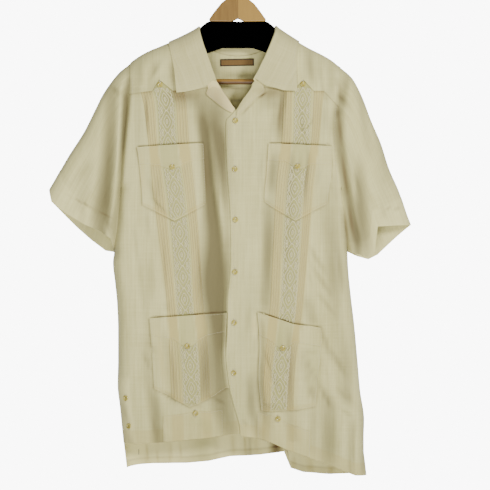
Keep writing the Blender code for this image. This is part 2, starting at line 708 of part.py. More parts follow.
def pocket_columns(side, shape):
    lines = [(lambda down: smooth(shape["outer"], down), 0.0)]
    lines += band_lines(side)
    lines.append((lambda down: smooth(shape["inner"], down), 0.0))
    return lines


def build_pocket(name, shape, group):
    side = -1 if name.endswith("_r") else 1
    grid = []
    for r, share in enumerate(POCKET_ROWS):
        row = []
        for line, relief in pocket_columns(side, shape):
            down = settle(line, lambda across: straight(shape["top"], across),
                          lambda across: straight(shape["bottom"], across), share, POCKET_MIDDLE)
            lift = pocket_lift(shape, line(down), down)
            row.append((line(down), down, FRONT, lift, relief if r > 1 else 0.0))
        grid.append(row)
    panel(name, grid, group)


def band_column(shape, at):
    """A column of a pocket's band: a place between the pocket's sides and the band's corners."""
    def line(down):
        left, right = smooth(shape["outer"], down), smooth(shape["inner"], down)
        stops = sorted([left, right] + [x for x, _ in shape["band"]][1:-1], reverse=left > right)
        spot = at * (len(stops) - 1)
        i = min(int(spot), len(stops) - 2)
        return mix(stops[i], stops[i + 1], spot - i)
    return line


def build_pocket_band(name, shape, group):
    """The pointed band along a pocket's top, laid on the pocket."""
    grid = []
    for share in POCKET_BAND_ROWS:
        row = []
        for c in range(POCKET_BAND_COLUMNS):
            line = band_column(shape, c / (POCKET_BAND_COLUMNS - 1))
            down = settle(line, lambda across: straight(shape["top"], across) + POCKET_BAND_INSET,
                          lambda across: straight(shape["band"], across), share,
                          shape["top"][0][1])
            lift = pocket_lift(shape, line(down), down) + TUCK_HEIGHT + LAY + CLOTH
            row.append((line(down), down, FRONT, lift, 0.0))
        grid.append(row)
    panel(name, grid, group)


def hem_band_top(shape, across):
    hem = RIGHT_HEM if shape["side"] == "right" else LEFT_HEM
    rise = HEM_BAND_POINT * max(1 - abs(across - shape["point"]) / HEM_BAND_POINT_WIDTH, 0.0)
    return straight(hem, across) - HEM_BAND_HEIGHT - rise


def build_hem_band(name, shape, group):
    hem = RIGHT_HEM if shape["side"] == "right" else LEFT_HEM
    point, half = shape["point"], HEM_BAND_POINT_WIDTH
    stops = (shape["start"], point - 1.25 * half, point - half, point, point + half, shape["end"])
    line = [mix(a, b, share) for a, b in zip(stops, stops[1:]) for share in (0, 0.5)]
    line.append(stops[-1])
    grid = []
    for share in HEM_BAND_ROWS:
        grid.append([(x, mix(hem_band_top(shape, x), straight(hem, x) - HEM_BAND_INSET, share),
                      FRONT, TUCK_HEIGHT + LAY + CLOTH, 0.0) for x in line])
    panel(name, grid, group)


def collar_face(at):
    """The face of the shirt that a place along the collar lies on."""
    here = COLLAR[int(at)][0]
    return here if at == int(at) else here or COLLAR[int(at) + 1][0]


def build_collar(group):
    """One folded piece: a stand from the neck seam, a roll, and a leaf that lies on the yoke."""
    keys = range(len(COLLAR))
    tables = [[(k, COLLAR[k][column]) for k in keys] for column in range(1, 9)]
    outer = []
    last = len(COLLAR) - 1
    for step in range(last * COLLAR_STEPS + 1):
        at = step / COLLAR_STEPS
        face = collar_face(at)
        neck_x, neck_d, sideways, out, up, edge_x, edge_d, bow = [smooth(t, at) for t in tables]
        if face == RIDGE:
            neck_d, edge_d = shoulder(neck_x), shoulder(edge_x)
        neck = place(neck_x, neck_d, face, COLLAR_SEAT)
        lifted = place(neck_x, neck_d, face, COLLAR_SEAT + out)
        roll = lifted + Vector((sideways, 0, up))
        rim = place(edge_x, edge_d, face, COLLAR_EDGE_LIFT)
        rise = (roll - neck).normalized()
        away = rim - neck
        away = (away - rise * away.dot(rise)).normalized()
        column = [neck, mix(neck, roll - away * COLLAR_ROLL_HALF - rise * COLLAR_ROLL_DROP, 0.5),
                  roll - away * COLLAR_ROLL_HALF - rise * COLLAR_ROLL_DROP, roll,
                  roll + away * COLLAR_ROLL_HALF - rise * COLLAR_ROLL_DROP]
        height = (roll - neck).length
        for share in COLLAR_LEAF:
            x = mix(neck_x, edge_x, share)
            d = shoulder(x) if face == RIDGE else mix(neck_d, edge_d, share)
            d += bow * 4 * share * (1 - share)
            lift = COLLAR_EDGE_LIFT + COLLAR_LEAF_RISE * height * (1 - share) ** COLLAR_LEAF_FALL
            column.append(place(x, d, face, lift))
        outer.append(column)
    grid = [[column[r] for column in outer] for r in range(len(outer[0]))]
    wall("collar", grid, offset_grid(grid, COLLAR_CLOTH), group)


def offset_grid(grid, cloth):
    """The grid moved to the cloth's other side, along the mean of its faces' normals."""
    rows, columns = len(grid), len(grid[0])
    moved = []
    for r in range(rows):
        line = []
        for c in range(columns):
            total = Vector((0, 0, 0))
            for dr, dc in ((-1, -1), (-1, 0), (0, -1), (0, 0)):
                a, b = r + dr, c + dc
                if 0 <= a < rows - 1 and 0 <= b < columns - 1:
                    one = grid[a + 1][b + 1] - grid[a][b]
                    two = grid[a + 1][b] - grid[a][b + 1]
                    total += one.cross(two).normalized()
            line.append(grid[r][c] - total.normalized() * cloth)
        moved.append(line)
    return moved


def build_lapels(group):
    for name, rows in LAPELS.items():
        grid = []
        for roll_x, roll_d, rim_x, rim_d in rows:
            row = []
            for c in range(LAPEL_COLUMNS):
                share = c / (LAPEL_COLUMNS - 1)
                lift = LAPEL_LIFT + LAPEL_PUFF * bump(2 * share - 1)
                row.append((mix(roll_x, rim_x, share), mix(roll_d, rim_d, share), FRONT, lift, 0.0))
            grid.append(row)
        panel(name, grid, group)


def build_label(group):
    label = NECK_LABEL
    under = -(CLOTH + LAY)
    grid = []
    for share in (0.0, 1.0):
        down = mix(label["top"], label["bottom"], share)
        grid.append([(mix(label["start"], label["end"], c / 4), down, BACK, under, 0.0)
                     for c in range(5)])
    panel("neck_label", grid, group, cloth=label["cloth"], finish="label")


def button_lift(on, across, down):
    if on in POCKETS:
        return pocket_lift(POCKETS[on], across, down) + TUCK_HEIGHT + LAY + CLOTH
    return TUCK_HEIGHT + LAY + CLOTH if on == "hem" else 0.0


def build_buttons(group):
    """Turned discs with a raised rim, each square to the cloth under it."""
    for name, (across, down, on) in BUTTONS.items():
        mesh = bpy.data.meshes.new(name)
        points = [(r * BUTTON_RADIUS * MM, 0, h * BUTTON_THICK * MM) for r, h in BUTTON_PROFILE]
        mesh.from_pydata(points, [(k, k + 1) for k in range(len(points) - 1)], [])
        thing = add_object(name, mesh, "pearl", group)
        turned = thing.modifiers.new("Turned", "SCREW")
        turned.steps = BUTTON_SIDES
        turned.render_steps = BUTTON_SIDES
        turned.use_merge_vertices = True
        turned.merge_threshold = AXIS_MERGE
        turned.use_normal_calculate = True
        lift = button_lift(on, across, down) + LAY
        base = place(across, down, FRONT, lift)
        out = place(across, down, FRONT, lift + 1) - base
        facing = out.to_track_quat("Z", "Y").to_matrix().to_4x4()
        thing.matrix_world = Matrix.Translation(base * MM) @ facing


def plate(name, outline, thickness, finish, group):
    """A flat outline in the hanger's plane, given its thickness and rounded edges."""
    shell = bmesh.new()
    corners = [shell.verts.new((x * MM, 0, -d * MM)) for x, d in outline]
    shell.faces.new(corners)
    mesh = bpy.data.meshes.new(name)
    shell.to_mesh(mesh)
    shell.free()
    thing = add_object(name, mesh, finish, group)
    solid = thing.modifiers.new("Thickness", "SOLIDIFY")
    solid.thickness = thickness * MM
    solid.offset = 0
    rounding = thing.modifiers.new("Rounded edges", "BEVEL")
    rounding.width = PLATE_BEVEL[name] * MM
    rounding.segments = 2
    rounding.limit_method = "ANGLE"
    rounding.angle_limit = math.radians(50)
    return thing


def shoulder_outline():
    """Outline of the hanger's covered shoulders: the arms follow the yoke from inside."""
    def half(side):
        corner_x, corner_d = SHOULDER_CORNER
        points = [(corner_x - 12, SHOULDER_TOP), (corner_x, corner_d - 4),
                  (NECK_SIDE, corner_d + 3), (NECK_SIDE, NECK_SIDE_FOOT)]
        for k in range(ARM_POINTS):
            x = mix(ARM_START, ARM_REACH[side], k / (ARM_POINTS - 1))
            slope = math.hypot(1, shoulder_slope(side * x))
            points.append((x, shoulder(side * x) + ARM_CLEARANCE * slope))
        points += [(ARM_REACH[side], points[-1][1] + EAR_END), (EAR_FOOT, EAR_BOTTOM),
                   (EAR_IN, EAR_BOTTOM), (EAR_IN, EAR_TOP)]
        points += reversed(ARM_UNDER)
        return [(side * x, d) for x, d in points]
    return half(-1) + list(reversed(half(1)))


def build_bar(group):
    length = 2 * (EAR_IN - LAY)
    shell = bmesh.new()
    bmesh.ops.create_cone(shell, cap_ends=True, segments=BAR_SIDES, radius1=BAR_RADIUS * MM,
                          radius2=BAR_RADIUS * MM, depth=length * MM)
    shell.transform(Matrix.Translation((0, 0, -BAR_DOWN * MM)) @ Matrix.Rotation(math.pi / 2, 4, "Y"))
    mesh = bpy.data.meshes.new("hanger_bar")
    shell.to_mesh(mesh)
    shell.free()
    add_object("hanger_bar", mesh, "wood", group)


def build_hook(group):
    """Bent wire: the stem rises from the head, swings out and closes over the origin."""
    loop = HOOK_RADIUS + WIRE_RADIUS
    points = [(0, LAY - HEAD_TOP), *HOOK_STEM]
    for k in range(HOOK_POINTS):
        angle = math.radians(mix(*HOOK_TURN, k / (HOOK_POINTS - 1)))
        points.append((loop * math.cos(angle), loop * math.sin(angle) - HOOK_RADIUS))
    curve = bpy.data.curves.new("hanger_hook", "CURVE")
    curve.dimensions = "3D"
    curve.bevel_depth = WIRE_RADIUS * MM
    curve.bevel_resolution = 2
    curve.use_fill_caps = True
    spline = curve.splines.new("POLY")
    spline.points.add(len(points) - 1)
    for spot, (x, z) in zip(spline.points, points):
        spot.co = (x * MM, 0, z * MM, 1)
    curve.materials.append(material("steel"))
    group.objects.link(bpy.data.objects.new("hanger_hook", curve))


def main():
    for thing in list(bpy.data.objects):
        bpy.data.objects.remove(thing, do_unlink=True)
    shirt = collection("camp_shirt")
    build_fronts(shirt)
    build_back(shirt)
    build_yoke(shirt)
    build_sleeve(-1, "right_sleeve", RIGHT_CUFF, shirt)
    build_sleeve(1, "left_sleeve", LEFT_CUFF, shirt)
    for name, shape in POCKETS.items():
        build_pocket(name, shape, shirt)
        build_pocket_band(name.replace("pocket", "band"), shape, shirt)
    for name, shape in HEM_BANDS.items():
        build_hem_band(name, shape, shirt)
    build_collar(shirt)
    build_lapels(shirt)
    build_label(shirt)
    build_buttons(shirt)
    plate("hanger_head", HEAD_OUTLINE, HEAD_THICK, "wood", shirt)
    plate("hanger_shoulders", shoulder_outline(), SHOULDER_THICK, "felt", shirt)
    build_bar(shirt)
    build_hook(shirt)


main()
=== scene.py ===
"""Looks of a camp shirt of the guayabera kind on its wooden hanger.

The frame holds the solid parts. Every cloth piece here is a thin shell on the same closed form as
its solid: "across" is X, "down" is the drop below the hook, a face is FRONT or BACK, and "lift"
moves a point out of the form. Sizes are in millimetres, and MM turns them into metres where a
mesh is made.
"""

import math
import bmesh
import bpy
import numpy as np
from mathutils import Matrix, Vector


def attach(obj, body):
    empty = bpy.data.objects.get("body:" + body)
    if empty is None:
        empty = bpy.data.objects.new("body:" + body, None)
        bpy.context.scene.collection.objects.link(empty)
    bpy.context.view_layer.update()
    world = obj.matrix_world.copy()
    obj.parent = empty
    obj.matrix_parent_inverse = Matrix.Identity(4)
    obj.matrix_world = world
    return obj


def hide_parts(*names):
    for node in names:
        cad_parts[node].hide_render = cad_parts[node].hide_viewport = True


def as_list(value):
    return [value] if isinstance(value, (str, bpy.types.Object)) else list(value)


MM = 0.001
FRONT, RIDGE, BACK = -1, 0, 1
BODY = "root"

# Cloth
CLOTH = 0.7
DOUBLE_CLOTH = 1.3
TUCK_HEIGHT = 1.1
TUCKS_IN_GROUP = 4

# The closed form: how fast it rounds off under the shoulder line and beside the side seam, how
# the sleeves lie against the sides, and how the vents open
SHOULDER_ROUND = 32.0
SIDE_ROUND = 26.0
SLEEVE_LAP = 1.0
SLEEVE_PRESS = 7.0
SLEEVE_END = 580.0
SLEEVE_DEPTH = 24.0
SLEEVE_BLEND = 50.0
VENT_TOP = 850.0
VENT_OPEN = 7.0
VENT_LENGTH = 150.0
LEAST_DEPTH = 4.0
# How far the sleeve's press fades in above and below the underarm, and out above its end
PRESS_FADES = (22.0, 12.0, 26.0)

# Steps that slopes are measured over, and lengths too short to divide by
SLOPE_STEP = 2.0
NORMAL_STEP = 0.5
TINY = 1e-9
FLAT_SLOPE = 1e-6
# Edges sharper than this stay sharp
SHARP_ANGLE = math.radians(60)
# Rounds in which a grid's places settle on their lines, and how far each round moves them
SETTLE_ROUNDS = 36
SETTLE_SHARE = 0.6

# Shoulder line from cuff to cuff: across, down
SHOULDER_LINE = (
    (-367, 458), (-356, 439), (-329, 392), (-299, 345), (-276, 299), (-264, 275), (-249, 252),
    (-229, 228), (-215, 217), (-202, 206), (-184, 194), (-159, 182), (-136, 173), (-104, 161),
    (-75, 150), (-60, 145), (0, 142), (60, 144), (75, 149), (97, 159), (118, 170), (139, 182),
    (163, 194), (182, 205), (198, 218), (223, 240), (237, 264), (247, 287), (260, 322), (280, 369),
    (295, 416), (315, 462), (331, 509), (338, 527))

# Half depth of the shirt: down, front, back
DEPTH = ((120, 20, 20), (250, 25, 22), (420, 30, 24), (700, 34, 27), (1020, 31, 27))

# Armhole above the underarm, then the side seam: down, across
RIGHT_EDGE = ((180, -207), (210, -208), (271, -210), (304, -214), (379, -221), (458, -226),
              (529, -233), (583, -241), (600, -243), (638, -239), (679, -235), (732, -233),
              (790, -233), (837, -234), (884, -229), (942, -223), (977, -219), (1020, -214))
LEFT_EDGE = ((180, 200), (221, 201), (273, 199), (320, 195), (380, 194), (458, 202),
             (505, 206), (576, 214), (614, 216), (673, 222), (724, 228), (790, 234), (848, 239),
             (907, 247), (942, 246), (966, 246), (985, 248), (1020, 252))
UNDERARM_DOWN = 458.0
ARMHOLE_TOP = 215.0

# Bands on the fronts: down, then outer tucks, embroidery and inner tucks from the side inwards
RIGHT_BANDS = (
    (245, -195, -172, -170, -134, -132, -110), (292, -182, -160, -157, -121, -119, -98),
    (364, -173, -155, -152, -117, -115, -93), (454, -164, -142, -139, -104, -102, -83),
    (553, -152, -132, -128, -93, -91, -74), (671, -137, -120, -118, -87, -85, -66),
    (821, -129, -107, -105, -75, -72, -53), (960, -125, -103, -101, -71, -68, -49))
LEFT_BANDS = (
    (245, 170, 149, 146, 109, 107, 90), (301, 164, 146, 142, 109, 106, 88),
    (358, 159, 143, 141, 108, 105, 85), (451, 147, 130, 128, 96, 93, 75),
    (546, 139, 124, 122, 90, 87, 69), (669, 128, 115, 113, 85, 82, 63),
    (841, 111, 97, 95, 67, 65, 50), (1010, 107, 93, 91, 63, 61, 46))

# Front yoke seam, neck and back yoke seam
SEAM_DOWN = 267.0
POINT_DOWN = 245.0
YOKE_BACK_DOWN = 282.0
NECK_WIDTH = 75.0
NECK_DROP = 46.0
NECK_BACK_DOWN = 150.0
YOKE_NECK = {-1: ((150, -75), (190, -69), (230, -61), (262, -50)),
             1: ((149, 75), (190, 66), (230, 53), (260, 40))}
YOKE_NECK_FOOT = 260.0

# Front neck edge, roll line and closing edge: down, across
RIGHT_FRONT_EDGE = ((256, -47), (270, -30), (303, -4), (318, 6), (340, 17), (800, 18), (900, 28),
                    (960, 32))
LEFT_FRONT_EDGE = ((254, 37), (270, 20), (303, -2), (314, -12), (324, -21), (340, -22),
                   (404, -20), (516, -13), (595, -12), (673, -18), (738, -19), (778, -22),
                   (830, -17), (877, -6), (913, 4), (940, 7))
PLACKET_DIP = 2.8
PLACKET_DIP_DOWN = 290.0
PLACKET_DIP_RAMP = 13.0
PLACKET_LAP = 14.0
PLACKET_LAP_RAMP = 13.0

# Hems: across, down
RIGHT_HEM = ((-230, 950), (-163, 949), (-56, 939), (-12, 932), (40, 928))
LEFT_HEM = ((0, 934), (42, 940), (68, 949), (94, 961), (129, 973), (164, 986), (200, 999),
            (225, 1011), (255, 1013))
BACK_HEM = ((-220, 1001), (-194, 997), (-171, 995), (-100, 994), (-56, 990), (-15, 981),
            (44, 978), (93, 971), (102, 1003), (129, 1012), (180, 1016), (255, 1013))

# Sleeve hems from the shoulder fold to the underarm seam: share of the way, across, down
RIGHT_CUFF = {
    FRONT: ((0, -367, 458), (0.08, -361, 482), (0.28, -335, 503), (0.5, -298, 526),
            (0.7, -268, 539), (0.9, -248, 553), (1, -242, 580)),
    BACK: ((0, -367, 458), (0.08, -362, 484), (0.28, -335, 512), (0.42, -316, 531),
           (0.6, -288, 556), (0.85, -261, 577), (1, -242, 580))}
LEFT_CUFF = {
    FRONT: ((0, 338, 527), (0.3, 305, 528), (0.5, 273, 530), (0.56, 266, 588), (0.64, 257, 592),
            (0.82, 238, 584), (1, 215, 578)),
    BACK: ((0, 338, 527), (0.3, 310, 552), (0.56, 275, 585), (0.7, 258, 594), (0.85, 236, 588),
           (1, 215, 578))}

# Soft folds down the shirt, troughs above 0 and ridges below it. Each has rows of down, across,
# half width and depth
FOLDS = {
    FRONT: (
        ((275, -75, 18, 0), (322, -71, 16, 3), (380, -63, 16, 4.5), (449, -57, 18, 6),
         (507, -50, 29, 9), (566, -44, 37, 10.5), (634, -44, 47, 12), (732, -38, 39, 10),
         (810, -36, 37, 8.5), (868, -32, 35, 7.5), (917, -20, 29, 6), (958, -11, 18, 2)),
        ((260, -50, 51, 2.2), (302, -52, 51, 2.6), (380, -46, 39, 2), (498, -42, 27, 1.2),
         (576, -40, 23, 0)),
        ((260, -194, 23, 1.5), (322, -196, 23, 1.6), (420, -202, 23, 0.8), (498, -206, 20, 0)),
        ((332, -54, 12, 0), (380, -49, 12, -2.5), (478, -36, 12, -3.5), (546, -26, 10, -2.5),
         (599, -20, 8, 0)),
        ((330, -30, 12, 0), (380, -26, 12, 3), (478, -21, 12, 3.5), (556, -19, 10, 3),
         (599, -17, 8, 0)),
        ((521, -204, 6, 0), (546, -200, 6, 1.6), (599, -192, 8, 1.8), (673, -182, 10, 1.6),
         (741, -173, 10, 1.2), (770, -171, 10, 0)),
        ((732, -182, 16, 0), (770, -178, 16, 2.4), (839, -171, 16, 3), (868, -163, 18, 5.5),
         (907, -159, 18, 6.5), (946, -155, 18, 6.5), (969, -153, 16, 3)),
        ((732, -73, 18, 0), (770, -69, 18, 2.6), (839, -67, 18, 3.4), (878, -65, 16, 0)),
        ((722, -145, 10, 0), (761, -139, 12, 1.8), (819, -132, 12, 2.2), (868, -126, 10, 1.2),
         (888, -124, 10, 0)),
        ((751, -157, 10, 0), (790, -153, 12, -1.6), (839, -145, 12, -1.8), (868, -143, 10, 0)),
        ((236, -210, 10, 0), (267, -215, 12, 8), (312, -218, 11, 11), (351, -221, 10, 11),
         (400, -225, 9, 9), (458, -229, 10, 7.5), (527, -235, 14, 5), (576, -239, 14, 4),
         (599, -241, 12, 0)),
        ((252, -227, 12, 0), (293, -230, 12, -3), (380, -232, 12, -3.5), (478, -239, 12, -3),
         (527, -245, 12, 0)),
        ((244, -243, 18, 0), (273, -246, 21, 5), (342, -249, 21, 6.5), (410, -254, 23, 7.5),
         (478, -262, 27, 8), (527, -268, 29, 7), (572, -268, 27, 4)),
        ((279, -198, 16, 0), (342, -202, 18, -1.6), (458, -208, 18, -1.6), (536, -214, 16, 0)),
        ((256, 89, 10, 0), (275, 88, 10, 5), (318, 84, 10, 5.5), (357, 82, 10, 3), (373, 79, 10, 0)),
        ((377, 75, 16, 0), (410, 69, 16, 3), (439, 66, 16, 3), (472, 65, 14, 1), (486, 63, 14, 0)),
        ((470, 56, 16, 0), (501, 59, 18, 3.6), (556, 59, 16, 4), (614, 56, 14, 3.6),
         (673, 52, 16, 4), (700, 50, 14, 1.5)),
        ((224, 214, 12, 0), (254, 208, 14, 5), (293, 198, 16, 6), (332, 194, 18, 7.5),
         (380, 199, 16, 7.5), (439, 208, 14, 7), (498, 218, 14, 7), (556, 229, 14, 7),
         (591, 233, 12, 4)),
        ((488, 202, 10, 0), (527, 210, 12, 4), (566, 214, 12, 5), (587, 217, 10, 0)),
        ((283, 214, 12, 0), (332, 215, 16, -2.5), (400, 221, 14, -2.5), (458, 228, 12, -1.5),
         (488, 233, 12, 0)),
        ((380, 233, 16, 0), (429, 237, 18, 3), (488, 241, 21, 4.5), (546, 245, 21, 4.5),
         (587, 251, 18, 2)),
        ((260, 233, 12, 0), (287, 240, 12, 2.6), (332, 247, 12, 2.6), (380, 254, 14, 1.5),
         (410, 260, 14, 0)),
        ((380, 104, 12, 0), (410, 106, 12, 2), (449, 102, 14, 2.4), (507, 97, 14, 2.4),
         (566, 93, 16, 2), (599, 91, 14, 0)),
        ((371, 136, 10, 0), (400, 136, 10, 1.8), (439, 130, 12, 1.8), (478, 126, 10, 0)),
        ((657, 130, 12, 0), (683, 136, 16, 3.2), (708, 141, 18, 3.6), (724, 145, 14, 0)),
        ((696, 40, 8, 0), (732, 46, 10, 3), (770, 46, 10, 2.4), (819, 42, 12, 4), (864, 46, 14, 5),
         (891, 48, 12, 3.5), (917, 50, 10, 0)),
        ((802, 24, 16, 0), (839, 26, 21, 3), (878, 28, 21, 3), (907, 34, 14, 3.4),
         (946, 36, 12, 1.5)),
        ((860, 56, 12, 0), (891, 58, 14, 2.6), (930, 50, 16, 2.4), (958, 48, 14, 0)),
        ((876, 67, 12, 0), (907, 75, 12, -2.4), (938, 73, 14, -2.4), (966, 71, 10, 0)),
        ((716, 98, 14, 0), (751, 100, 16, 2), (800, 104, 14, 2), (858, 97, 18, 2.4),
         (897, 100, 18, 2.4), (946, 106, 18, 2)),
        ((837, 165, 16, 0), (876, 175, 23, 4), (917, 176, 27, 5.4), (956, 175, 27, 5.2),
         (997, 176, 23, 3), (1024, 176, 20, 2)),
        ((868, 196, 16, 0), (917, 202, 18, -3), (966, 204, 18, -3.5), (1001, 206, 14, 0)),
        ((891, 219, 12, 0), (926, 221, 14, 4), (966, 219, 14, 4.5), (1008, 219, 12, 2)),
        ((919, 233, 10, 0), (956, 233, 12, -2.6), (995, 231, 10, -2.6), (1020, 231, 10, 0)),
        ((864, 235, 12, 0), (897, 243, 12, 2.4), (946, 244, 10, 3), (995, 243, 10, 3),
         (1020, 245, 10, 1)),
        ((864, 145, 12, 0), (897, 147, 14, 2.4), (946, 145, 14, 2.2), (985, 149, 12, 0)),
        ((576, 178, 18, 0), (644, 186, 23, 2), (732, 194, 23, 2.2), (810, 202, 20, 2),
         (860, 212, 20, 3.4), (888, 219, 16, 0)),
        ((470, -299, 12, 0), (490, -301, 12, 1.4), (521, -303, 12, 1.4), (540, -305, 10, 0)),
        ((380, -284, 16, 0), (429, -293, 18, 1.8), (478, -305, 18, 1.8), (507, -311, 16, 0)),
        ((201, -155, 14, 0), (228, -163, 16, 2.6), (260, -169, 16, 2.6), (279, -173, 14, 0)),
        ((197, -192, 14, 0), (221, -196, 16, 2), (252, -198, 16, 3), (279, -202, 14, 0)),
        ((174, 134, 12, 0), (197, 139, 14, 2.4), (232, 143, 14, 2.4), (264, 145, 12, 0)),
        ((205, 176, 12, 0), (232, 180, 14, 2.6), (267, 178, 12, 2.2), (291, 175, 12, 0))),
    BACK: (
        ((380, -120, 39, 0), (595, -108, 43, 4), (829, -100, 43, 5), (936, -93, 43, 3),
         (1008, -89, 39, 2.6)),
        ((380, 59, 39, 0), (556, 71, 43, 4.5), (790, 83, 43, 4.5), (946, 77, 27, 3.5),
         (985, 77, 23, 3.2)),
        ((322, -19, 35, 0), (517, -13, 39, 3), (712, -9, 39, 3), (829, -7, 31, 0)),
        ((478, 149, 31, 0), (712, 161, 35, 4), (907, 169, 35, 3.6), (1016, 173, 31, 2.4)),
        ((517, -184, 27, 0), (732, -176, 31, 3.5), (926, -171, 27, 2.4), (1004, -171, 23, 1.6)),
        ((907, -139, 16, 0), (956, -141, 18, 2.2), (1004, -143, 18, 2.2)),
        ((903, -61, 20, 0), (956, -61, 23, 2.6), (1004, -59, 23, 2.6)),
        ((907, 15, 16, 0), (956, 17, 18, 2.6), (1004, 19, 16, 2.6)),
        ((926, 122, 16, 0), (975, 122, 18, 2.2), (1024, 124, 18, 2.2)),
        ((926, 208, 16, 0), (975, 208, 18, 2.2), (1024, 210, 18, 2.2)),
        ((322, -268, 31, 0), (439, -280, 39, 4), (527, -288, 39, 4), (576, -284, 35, 2)),
        ((342, 251, 31, 0), (439, 266, 39, 4), (527, 270, 39, 4), (585, 262, 35, 2)))}
FOLD_TO_HEM = 955
CLOSING_ROOM = 9.0
FULL_SHADE_DEPTH = 9.5
FOLD_EASE = 0.85

# Lesser creases across the fronts: from across and down, to across and down, half width, depth
CREASES = (
    (134, 562, 173, 626, 7, 3.4), (139, 599, 184, 669, 7, 3.4), (128, 599, 157, 657, 6, -2.38),
    (149, 650, 192, 708, 7, 2.72), (157, 716, 182, 794, 8, 4.08), (176, 761, 212, 825, 8, 3.74),
    (182, 835, 221, 872, 8, 2.21), (155, 829, 186, 891, 7, 4.08), (169, 782, 192, 876, 7, -3.4),
    (192, 878, 223, 899, 6, 3.4), (126, 774, 161, 845, 8, 2.72), (139, 835, 147, 872, 7, 3.74),
    (122, 770, 157, 774, 6, 2.38), (48, 761, 67, 819, 7, 2.38), (59, 813, 91, 864, 7, 2.72),
    (48, 872, 91, 891, 6, 3.06), (130, 342, 147, 318, 5, 2.72), (118, 318, 130, 361, 5, 2.72),
    (-178, 423, -155, 501, 9, 2.55), (-171, 470, -132, 509, 7, 3.06),
    (-173, 751, -155, 782, 6, 2.55), (-155, 839, -112, 876, 7, 2.72),
    (-100, 872, -61, 880, 6, 2.04), (-61, 856, -19, 876, 6, 1.7), (-184, 770, -167, 813, 6, 2.72),
    (-225, 864, -208, 926, 7, 2.72), (-214, 930, -202, 969, 6, 2.72),
    (-188, 946, -178, 989, 6, 2.38), (5, 903, 20, 915, 5, 2.04), (24, 673, 17, 743, 8, 2.04),
    (48, 380, 40, 458, 8, 1.7), (-288, 400, -327, 458, 10, 2.38), (-214, 283, -253, 252, 8, 3.4),
    (190, 267, 223, 306, 8, 4.42), (206, 306, 225, 330, 6, 3.4), (278, 488, 286, 517, 8, 2.38),
    (223, 400, 239, 478, 6, 2.72), (184, 416, 192, 488, 8, 2.38), (192, 556, 208, 673, 8, 2.38),
    (-260, 521, -245, 576, 8, -3.4), (-139, 205, -171, 256, 8, -2.72), (161, 252, 173, 291, 6, 2.72))

